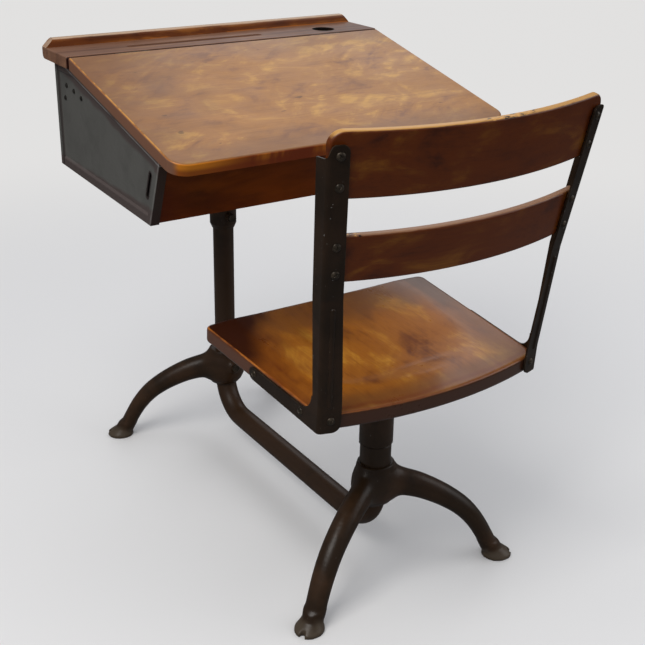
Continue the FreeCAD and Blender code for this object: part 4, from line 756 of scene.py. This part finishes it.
def seat_figure(c, root, straight, bent, colour):
    """Over a seat's colour: a mauve bloom round the saddle that is also a painted sheen, dark front
    corners, a rubbed lip with an orange line of wear and painted highlight on its left, and dark edge
    faces with painted light on those that face left."""
    level = (0, -math.sin(SEAT.tilt), math.cos(SEAT.tilt))
    along, across, _ = straight.parts()
    ahead = along - SEAT_POST
    cloud = bent.noise((9, 16, 16), detail=4, warp=0.7) - 0.5
    boards = straight.noise((0.6, 11, 1), detail=1)
    rear = ahead - across * across * 0.72 + cloud * 0.016
    right = (across + cloud * 0.06 - ahead * 0.1).step(0.125, 0.18)
    behind = 1 - rear.step(-0.138, -0.1)
    front = (ahead + cloud * 0.12).step(0.075, 0.13) * boards.step(0.38, 0.52)
    # bloom: where the varnish's bloom and a painted sheen go
    bloom = (right * 0.85).largest(behind * 0.9, front * 0.85)
    board = (ahead + cloud * 0.1).step(0.02, 0.09) * (1 - boards.step(0.4, 0.5))
    edge = rear + cloud * 0.008
    rim = (1 - edge.step(-0.15, -0.14)) * edge.step(-0.158, -0.15)
    corner = (ahead * 0.2 - across + cloud * 0.1).step(0.12, 0.2)
    left = (ahead * 0.66 - across + cloud * 0.06).step(0.195, 0.25)
    up, leftward = toward(root, level), toward(root, (-1, 0, 0))
    ragged = straight.noise((16, 60, 60), detail=3, rough=0.6).step(0.34, 0.6)
    lip = up.step(0.35, 0.62) * (1 - up.step(0.9, 0.975))
    # painted light: edge faces that face left are lighter, as if lit from the left
    side = leftward.step(0.5, 0.9).mix(c.seat_side, dimmed(c.seat_side, 1.9))
    return layered(
        colour, (bloom * 0.85, c.seat_bloom_and_sheen), (board * 0.5, dimmed(c.seat_bloom_and_sheen, 0.4)),
        (rim * 0.5, c.seat_border), (corner * 0.7, c.seat_dark), (left * 0.94, dimmed(c.seat_border, 0.22)),
        # on the lip's left side, orange of wear and painted highlight
        (lip * (0.3 + ragged * 0.3), c.seat_border), (lip * ragged * leftward.step(0.05, 0.3), c.orange_rub_and_highlight),
        (1 - up.step(0.25, 0.6), side))


def slat_figure(top, nick, root, straight, bent, colour, middle, reach):
    """A slat's upper edge in another colour, rubbed wood on the upper slat and a painted sheen on
    the lower one, with pale and dark nicks on either side of a place.
    """
    up = toward(root, (0, 0, 1))
    ragged = straight.noise((18, 60, 60), detail=4, rough=0.7)
    # rubbed: faces that look up, which take rubbed wood on the upper slat and a painted sheen on the lower
    rubbed = (up + (ragged - 0.5) * 0.7).step(0.4, 0.85)
    marks = straight.noise((90, 200, 200), rough=0.6)
    along, _, _ = straight.parts()
    where = 1 - abs(along - middle).step(reach * 0.8, reach * 1.3)
    return layered(
        colour, (rubbed, top), (up.step(0.3, 0.7) * marks.step(0.56, 0.62) * where, nick),
        (up.step(0.1, 0.5) * (1 - marks).step(0.56, 0.6) * where, (0.02, 0.008, 0.005)))


def lid_figure(c, root, straight, bent, colour):
    """Over a lid's colour: a mauve bloom, also a painted sheen, that grows to the left, the rear and the
    front border, saturated edge faces with amber stronger on their upper half as a painted highlight,
    the left side faces greyer as painted shade, a gold line of wear and painted highlight along the left
    edge, a few dark marks, and painted shade in the joint with the strip and on the underside."""
    level = (0, -math.sin(LID_SLOPE), math.cos(LID_SLOPE))
    x, y, z = place(root).parts()
    cloud = bent.noise((7, 11, 11), detail=5, rough=0.6, warp=1) - 0.5
    left = (y * 0.3 - x + cloud * 0.42).step(0.09, 0.34)
    rear = (y + cloud * 0.16).step(0.16, 0.25)
    front = (cloud * 0.1 - y).step(0.05, 0.11)
    # bloom: where the varnish's bloom and a painted sheen go
    bloom = left.largest(rear * 0.6, front * 0.8)
    mark = straight.noise((26, 60, 60), rough=0.4).step(0.735, 0.77)
    up, leftward = toward(root, level), toward(root, (-1, 0, 0))
    ragged = straight.noise((22, 40, 40), detail=4, rough=0.65)
    middle = y.step(-0.1, 0.02) * (1 - y.step(0.1, 0.2) * 0.7)
    # lip and worn: the left arris, which takes a gold line of wear and painted highlight
    lip = up.step(0.6, 0.85) * (1 - up.step(0.965, 0.998)) * leftward.step(0.02, 0.2)
    worn = (ragged + middle * 0.14).step(0.48, 0.66)
    face = 1 - up.step(0.55, 0.9)
    depth = (STRIP_TOP - z) * level[2] + (y - JOINT) * -level[1]
    # upper: the edge faces' upper half, where the amber is stronger as a painted highlight; below it they
    # stay darker as painted shade
    upper = 1 - (depth + cloud * 0.006).step(0.006, 0.014)
    patches = straight.noise((26, 6, 6), detail=4, rough=0.6)
    corner = (cloud * 0.05 - x).step(0.17, 0.27)
    amber = (patches.step(0.44, 0.68) * 0.55).largest(corner) * (upper * 0.75 + 0.25)
    return layered(
        colour, (bloom * 0.72, c.lid_bloom_and_sheen), (mark * 0.5, dimmed(c.lid_bloom_and_sheen, 0.25)), (face, c.lid_face),
        # the lid's left side faces take a greyer brown as painted shade
        (face * amber, c.face_amber), (face * leftward.step(0.6, 0.9), c.lid_left_side_shade),
        # the band at the joint with the strip is darkened as painted shade of the gap
        (lip * worn, c.lid_gold_wear_and_highlight), ((y - JOINT).step(-0.005, -0.003), dimmed(c.red_dark, 0.7)),
        # painted shade: faces that look down are darkened
        (1 - up.step(-0.7, 0.05), dimmed(c.lid_face, 0.3)))


def strip_figure(c, root, straight, bent, colour):
    """A strip's inkwell hole painted near black and its pencil groove darkened, both as painted shade, pale
    dust at the groove's ends, and painted shade at its joint face.
    """
    x, y, _ = place(root).parts()
    flat = root.node("CombineXYZ", {0: x - INKWELL[0], 1: y - INKWELL[1]})
    hole = 1 - (flat.length() - INKWELL[2]).step(0.0002, 0.001)
    groove = 1 - abs(y - GROOVE[1]).step(0.006, 0.009)
    ends = 1 - abs(abs(x - GROOVE[0]) - GROOVE[2] * 0.8).step(0.01, 0.035)
    dust = straight.noise((90, 260, 260), detail=4, rough=0.75).step(0.6, 0.68)
    return layered(
        # painted shade: the inkwell hole is near black
        colour, (hole, (0.006, 0.003, 0.002)), (groove * ends * dust, (0.45, 0.42, 0.38)),
        # painted shade along the pencil groove where there is no dust
        (groove * (1 - dust) * 0.3, dimmed(c.strip_dark, 0.6)),
        # the face at the joint with the lid is darkened as painted shade of the gap
        (1 - (y - JOINT).step(0.002, 0.0038), dimmed(c.red_dark, 0.7)))


def apron_figure(c, root, straight, bent, colour):
    """An apron's amber in patches, and as painted light towards its lower edge, leaving its top darker as
    in the lid's shadow.
    """
    along, _, z = straight.parts()
    patches = bent.noise((5, 9, 9), detail=4, rough=0.6, warp=0.6)
    # painted light: amber grows towards the lower edge, so the top stays darker as in the lid's shadow
    low = 1 - z.step(0.6, 0.68)
    amber = (patches + low * 0.14 + along * 0.3).step(0.46, 0.74)
    return (amber * 0.7).mix(colour, c.red_amber_and_light)


def rail_figure(c, root, straight, bent, colour):
    """A rail's upper edge paler with wear and painted sheen, and a line rubbed bare along its foot."""
    along, _, z = straight.parts()
    ragged = straight.noise((14, 40, 90), detail=4, rough=0.65)
    foot = (1 - (z - STRIP_TOP).step(0.0008, 0.0026)) * (ragged + along * 0.6).step(0.42, 0.56)
    # wear and painted sheen: faces that look up take a paler colour
    up = toward(root, (0, 0, 1)) + (ragged - 0.5) * 0.5
    return layered(colour, (foot * 0.8, c.orange_rub_and_highlight), (up.step(0.45, 0.85) * 0.9, c.rail_top_wear_and_sheen))


def panel_figure(c, root, where, colour):
    """A box's sheet iron: browner towards its slope and its bottom, darker at a seam, painted shade round
    a slot and on its front faces, and painted highlights in a line under the lid, on a ridge along its
    front edge and where it faces up."""
    _, y, z = where.parts()
    cloud = where.noise((26, 26, 26), detail=3) - 0.5
    below = SLOPE_EDGE - z - (JOINT - y) * math.tan(LID_SLOPE)
    border = 1 - (below + cloud * 0.012).step(0.024, 0.033)
    low = 1 - (z - BOX_BOTTOM + cloud * 0.01).step(0.012, 0.02)
    seam = 1 - abs(BOX_BACK - SEAM - y).step(0.002, 0.0045)
    over, back = z - SLOT[1], y - SLOT[0]
    along = abs(over * SLOT_RUN[1] - back * SLOT_RUN[0]) - SLOT_HALF
    across = back * SLOT_RUN[1] + over * SLOT_RUN[0]
    slot = root.node("CombineXYZ", {0: along.largest(0), 1: across}).length()
    # painted highlight: a light line below the slope edge
    line = (1 - abs(below - HIGHLIGHT_LINE).step(0.0007, 0.002)) * cloud.step(-0.25, 0)
    behind = y - JOINT + (z - BOX_BOTTOM) * FRONT_LEAN + FRONT_FOOT
    # painted highlight along a ridge behind the front edge
    ridge = (1 - abs(behind - RIDGE).step(0.0008, 0.0026)) * cloud.step(-0.2, 0.1)
    # painted highlight: faces that look up along the rolled top edge
    top = toward(root, (0, 0, 1)).step(0.3, 0.8) * (1 - below.step(0.004, 0.012))
    shade = dimmed(c.panel_border, 0.4)
    return layered(
        colour, (border.largest(low) * 0.85, c.panel_border), (seam * 0.75, dimmed(c.panel_border, 0.35)),
        (1 - slot.step(0.0048, 0.0072), shade), (toward(root, (0, -1, 0)).step(0.4, 0.9) * 0.9, shade),
        (line * 0.75, c.panel_rub_and_highlight), (ridge * 0.55, c.panel_rub_and_highlight),
        (top * cloud.step(-0.2, 0.05), c.panel_rub_and_highlight))


def toe_figure(c, root, where, colour):
    """Grey wear near the floor, on the toes of a casting."""
    _, _, z = where.parts()
    cloud = where.noise((50, 50, 50), detail=3)
    worn = 1 - (z + cloud * 0.02).step(0.02, 0.034)
    return (worn * 0.9).mix(colour, dimmed(c.enamel_rubbed, 0.8))


class DESK_OT_finishes(bpy.types.Operator):
    """Makes the wood, enamel and steel finishes and puts them on the CAD pieces"""
    bl_idname = "desk.finishes"
    bl_label = "Finishes"

    def execute(self, context):
        c = context.scene.desk_colours
        iron = c.enamel, c.enamel_brown, c.enamel_rubbed
        slat = dict(cloud=1.25, clouds=(9, 18), flame=0.45, wisps=(14, 50), rough=0.38, coat=0.15)
        nick = dimmed(c.bare_wood, 1.25)

        def tones(word):
            return [getattr(c, f"{word}_{tone}") for tone in TONES]

        FINISHES.update(
            lid=wood("lid_varnish", *tones("lid"), cloud=1.3, clouds=(12, 17), flame=1.2, wisps=(14, 40),
                     lines=0.3, rough=0.42, coat=0.2, coat_rough=0.24, extra=partial(lid_figure, c)),
            strip=wood("strip_varnish", *tones("strip"), cloud=0.9, flame=0.3, lines=0.9, rough=0.4,
                       coat=0.2, extra=partial(strip_figure, c)),
            rail=wood("rail_varnish", *tones("rail"), clouds=(9, 30), flame=0.5, lines=1.0, rough=0.4,
                      coat=0.2, extra=partial(rail_figure, c)),
            apron=wood("apron_varnish", *tones("red"), cloud=1.2, rough=0.4, coat=0.15,
                       extra=partial(apron_figure, c)),
            slat_upper=wood("slat_varnish_upper", *tones("slat"), **slat, extra=partial(
                slat_figure, c.bare_wood, nick, middle=0.035, reach=0.042)),
            # the lower slat's upper edge takes the strip's light colour as a painted sheen
            slat_lower=wood("slat_varnish_lower", *tones("slat"), **slat, extra=partial(
                slat_figure, c.strip_light, nick, middle=-0.18, reach=0.012)),
            seat=wood("seat_varnish", *tones("seat"), grain="y", cloud=1.25, clouds=(7, 10), flame=0.45,
                      lines=0.4, rough=0.32, coat_rough=0.14, extra=partial(seat_figure, c)),
            cleat=wood("cleat_varnish", c.strip_middle, c.strip_dark, c.red_dark, grain="y", rough=0.5,
                       coat=0.1),
            panel=enamel("panel_enamel", c.panel, dimmed(c.panel, 0.82), c.panel_rub_and_highlight, rough=0.45,
                         edge_radius=0.0025, edge_reach=(0.05, 0.4), chips=0.15, lump=0.0003,
                         extra=partial(panel_figure, c)),
            casting=enamel("casting_enamel", *iron, rough=0.35, edge_radius=0.004, chips=0.15, lump=0.0012,
                           bloom_at=(0.4, 0.62), extra=partial(toe_figure, c)),
            tube=enamel("tube_enamel", *iron, rough=0.4, edge_radius=0.002, chips=0.1, bloom_at=(0.2, 0.5)),
            upright=enamel("upright_enamel", dimmed(iron[0], 0.68), dimmed(iron[1], 0.6), iron[2],
                           rough=0.42, edge_radius=0.0028, edge_reach=(0.04, 0.35), chips=0.5,
                           streaks=0.3, lump=0.0005),
            fastener=bare_steel("fastener_steel", dimmed(iron[2], 0.85), rough=0.36, metallic=0.5),
            rivet=bare_steel("rivet_steel", dimmed(c.steel, 0.15), rough=0.45, metallic=0.2),
            hinge=bare_steel("hinge_steel_worn", c.steel),
        )
        for worn, names in DRESSED.items():
            for name in names:
                for side in ("left", "right") if name.endswith("_") else ("",):
                    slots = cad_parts[name + side].data.materials
                    slots.clear()
                    slots.append(FINISHES[worn])
        for name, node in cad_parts.items():
            if not node.data.materials or node.data.materials[0] not in FINISHES.values():
                raise RuntimeError(f"{name} has no finish")
        return {"FINISHED"}


# ---- stage

# the camera's place, its azimuth, pitch and roll in degrees, and its focal length and the middle of
# its picture in pixels
VIEW = SimpleNamespace(place=(-0.9473, -1.4634, 1.1280), turns=(-32.8, 23.0, 0.8), focal=1113.6,
                       middle=(307.2, 306.1), pixels=645.0)
# each lamp's place, the place that it points at, its size and its tint
LAMPS = {"key": ((-1.5, -0.6, 2.5), (0, 0, 0.5), 1.5, (1.0, 0.98, 0.95)),
         "fill": ((2.2, -1.2, 1.6), (0, 0, 0.5), 1.8, (1, 1, 1)),
         "back": ((1.7, 2.1, 2.3), (0, 0, 0.6), 1.6, (0.95, 0.97, 1.0))}
# how far the floor reaches to each side, between which distances it gives way to the backdrop, and
# the strength of the backdrop's glow
FLOOR_REACH, FADE, GLOW = 30.0, (0.9, 2.6), 0.92


class DESK_OT_stage(bpy.types.Operator):
    """Makes the pale floor, the lamps, the sky and the camera"""
    bl_idname = "desk.stage"
    bl_label = "Stage"

    def execute(self, context):
        scene, stage = context.scene, context.scene.desk_stage
        scene.view_settings.view_transform = "Standard"
        mesh = bpy.data.meshes.new("floor")
        ring = [(x * FLOOR_REACH, y * FLOOR_REACH, 0) for x, y in ((-1, -1), (1, -1), (1, 1), (-1, 1))]
        mesh.from_pydata(ring, [], [(0, 1, 2, 3)])
        floor = added("floor", mesh)
        tint = tuple(stage.floor)
        material, root = begin("pale_floor")
        far = place(root).length().step(*FADE)
        direct = root.node("LightPath", out="Is Camera Ray")
        shown = direct.mix(dimmed(tint, stage.bounce), tint)
        glow = (far * direct).mix((0, 0, 0), tint)
        mesh.materials.append(finish(
            material, {"Base Color": far.mix(shown, (0.02, 0.02, 0.02)), "Emission Color": glow},
            {"Roughness": 0.9, "Emission Strength": GLOW, "Specular IOR Level": 0.2}))
        floor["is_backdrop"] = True
        world = bpy.data.worlds.new("even_light")
        scene.world = world
        world.use_nodes = True
        world.node_tree.nodes.clear()
        root = Signal(world.node_tree)
        direct = root.node("LightPath", out="Is Camera Ray")
        glossy = root.node("LightPath", out="Is Glossy Ray")
        lights = ((0.93, 0.95, 1.0), stage.world_light), ((0.9, 0.92, 1.0), stage.sheen), (tint, GLOW)
        sky, mirrored, backdrop = [
            root.node("Background", {"Color": (*shade, 1), "Strength": strength})
            for shade, strength in lights]
        lighting = root.node("MixShader", {0: glossy, 1: sky, 2: mirrored})
        whole = root.node("MixShader", {0: direct, 1: lighting, 2: backdrop})
        root.node("OutputWorld", {"Surface": whole}, out=None)
        for name, (where, aim, size, shade) in LAMPS.items():
            lamp = bpy.data.lights.new(name, "AREA")
            lamp.shape = "SQUARE"
            lamp.size = size
            lamp.energy = getattr(stage, f"{name}_power")
            lamp.color = shade
            obj = added(name, lamp)
            obj.location = where
            obj.rotation_euler = (Vector(aim) - Vector(where)).to_track_quat("-Z", "Y").to_euler()
        azimuth, pitch, roll = map(math.radians, VIEW.turns)
        back = Vector((math.sin(azimuth) * math.cos(pitch), -math.cos(azimuth) * math.cos(pitch),
                       math.sin(pitch)))
        right = Vector((math.cos(azimuth), math.sin(azimuth), 0))
        up = back.cross(right)
        cos, sin = math.cos(roll), math.sin(roll)
        right, up = right * cos + up * sin, up * cos - right * sin
        camera = bpy.data.cameras.new("camera")
        camera.sensor_width = 36.0
        camera.lens = VIEW.focal / VIEW.pixels * camera.sensor_width
        camera.shift_x = 0.5 - VIEW.middle[0] / VIEW.pixels
        camera.shift_y = VIEW.middle[1] / VIEW.pixels - 0.5
        camera.clip_end = 100.0
        obj = added("camera", camera)
        obj.matrix_world = Matrix((right, up, back)).transposed().to_4x4()
        obj.location = VIEW.place
        scene.camera = obj
        return {"FINISHED"}


# ---- add-on

GROUPS = {"desk_sizes": DeskSizes, "desk_colours": DeskColours, "desk_stage": DeskStage}
OPERATORS = (DESK_OT_stage, DESK_OT_finishes, DESK_OT_pedestals, DESK_OT_seat, DESK_OT_screws)


class DESK_PT_panel(bpy.types.Panel):
    """Lists the desk's pieces, sizes and colours"""
    bl_label = "School desk"
    bl_idname = "DESK_PT_panel"
    bl_space_type = "VIEW_3D"
    bl_region_type = "UI"
    bl_category = "Desk"

    def draw(self, context):
        for operator in OPERATORS:
            self.layout.operator(operator.bl_idname)
        for name, group in GROUPS.items():
            box = self.layout.box()
            for item in group.__annotations__:
                box.prop(getattr(context.scene, name), item)


def register():
    for cls in (*GROUPS.values(), *OPERATORS, DESK_PT_panel):
        bpy.utils.register_class(cls)
    for name, group in GROUPS.items():
        setattr(bpy.types.Scene, name, bpy.props.PointerProperty(type=group))


def unregister():
    for name in GROUPS:
        delattr(bpy.types.Scene, name)
    for cls in (DESK_PT_panel, *OPERATORS[::-1], *GROUPS.values()):
        bpy.utils.unregister_class(cls)


def corners(bounds):
    return [[float(value) for value in corner] for corner in bounds]


def main():
    register()
    for operator in OPERATORS:
        group, name = operator.bl_idname.split(".")
        if getattr(getattr(bpy.ops, group), name)() != {"FINISHED"}:
            raise RuntimeError(f"{operator.bl_label} did not finish")
    {"cad": corners(frame_box), "visual": corners(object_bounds())}


if __name__ == "__main__":
    main()
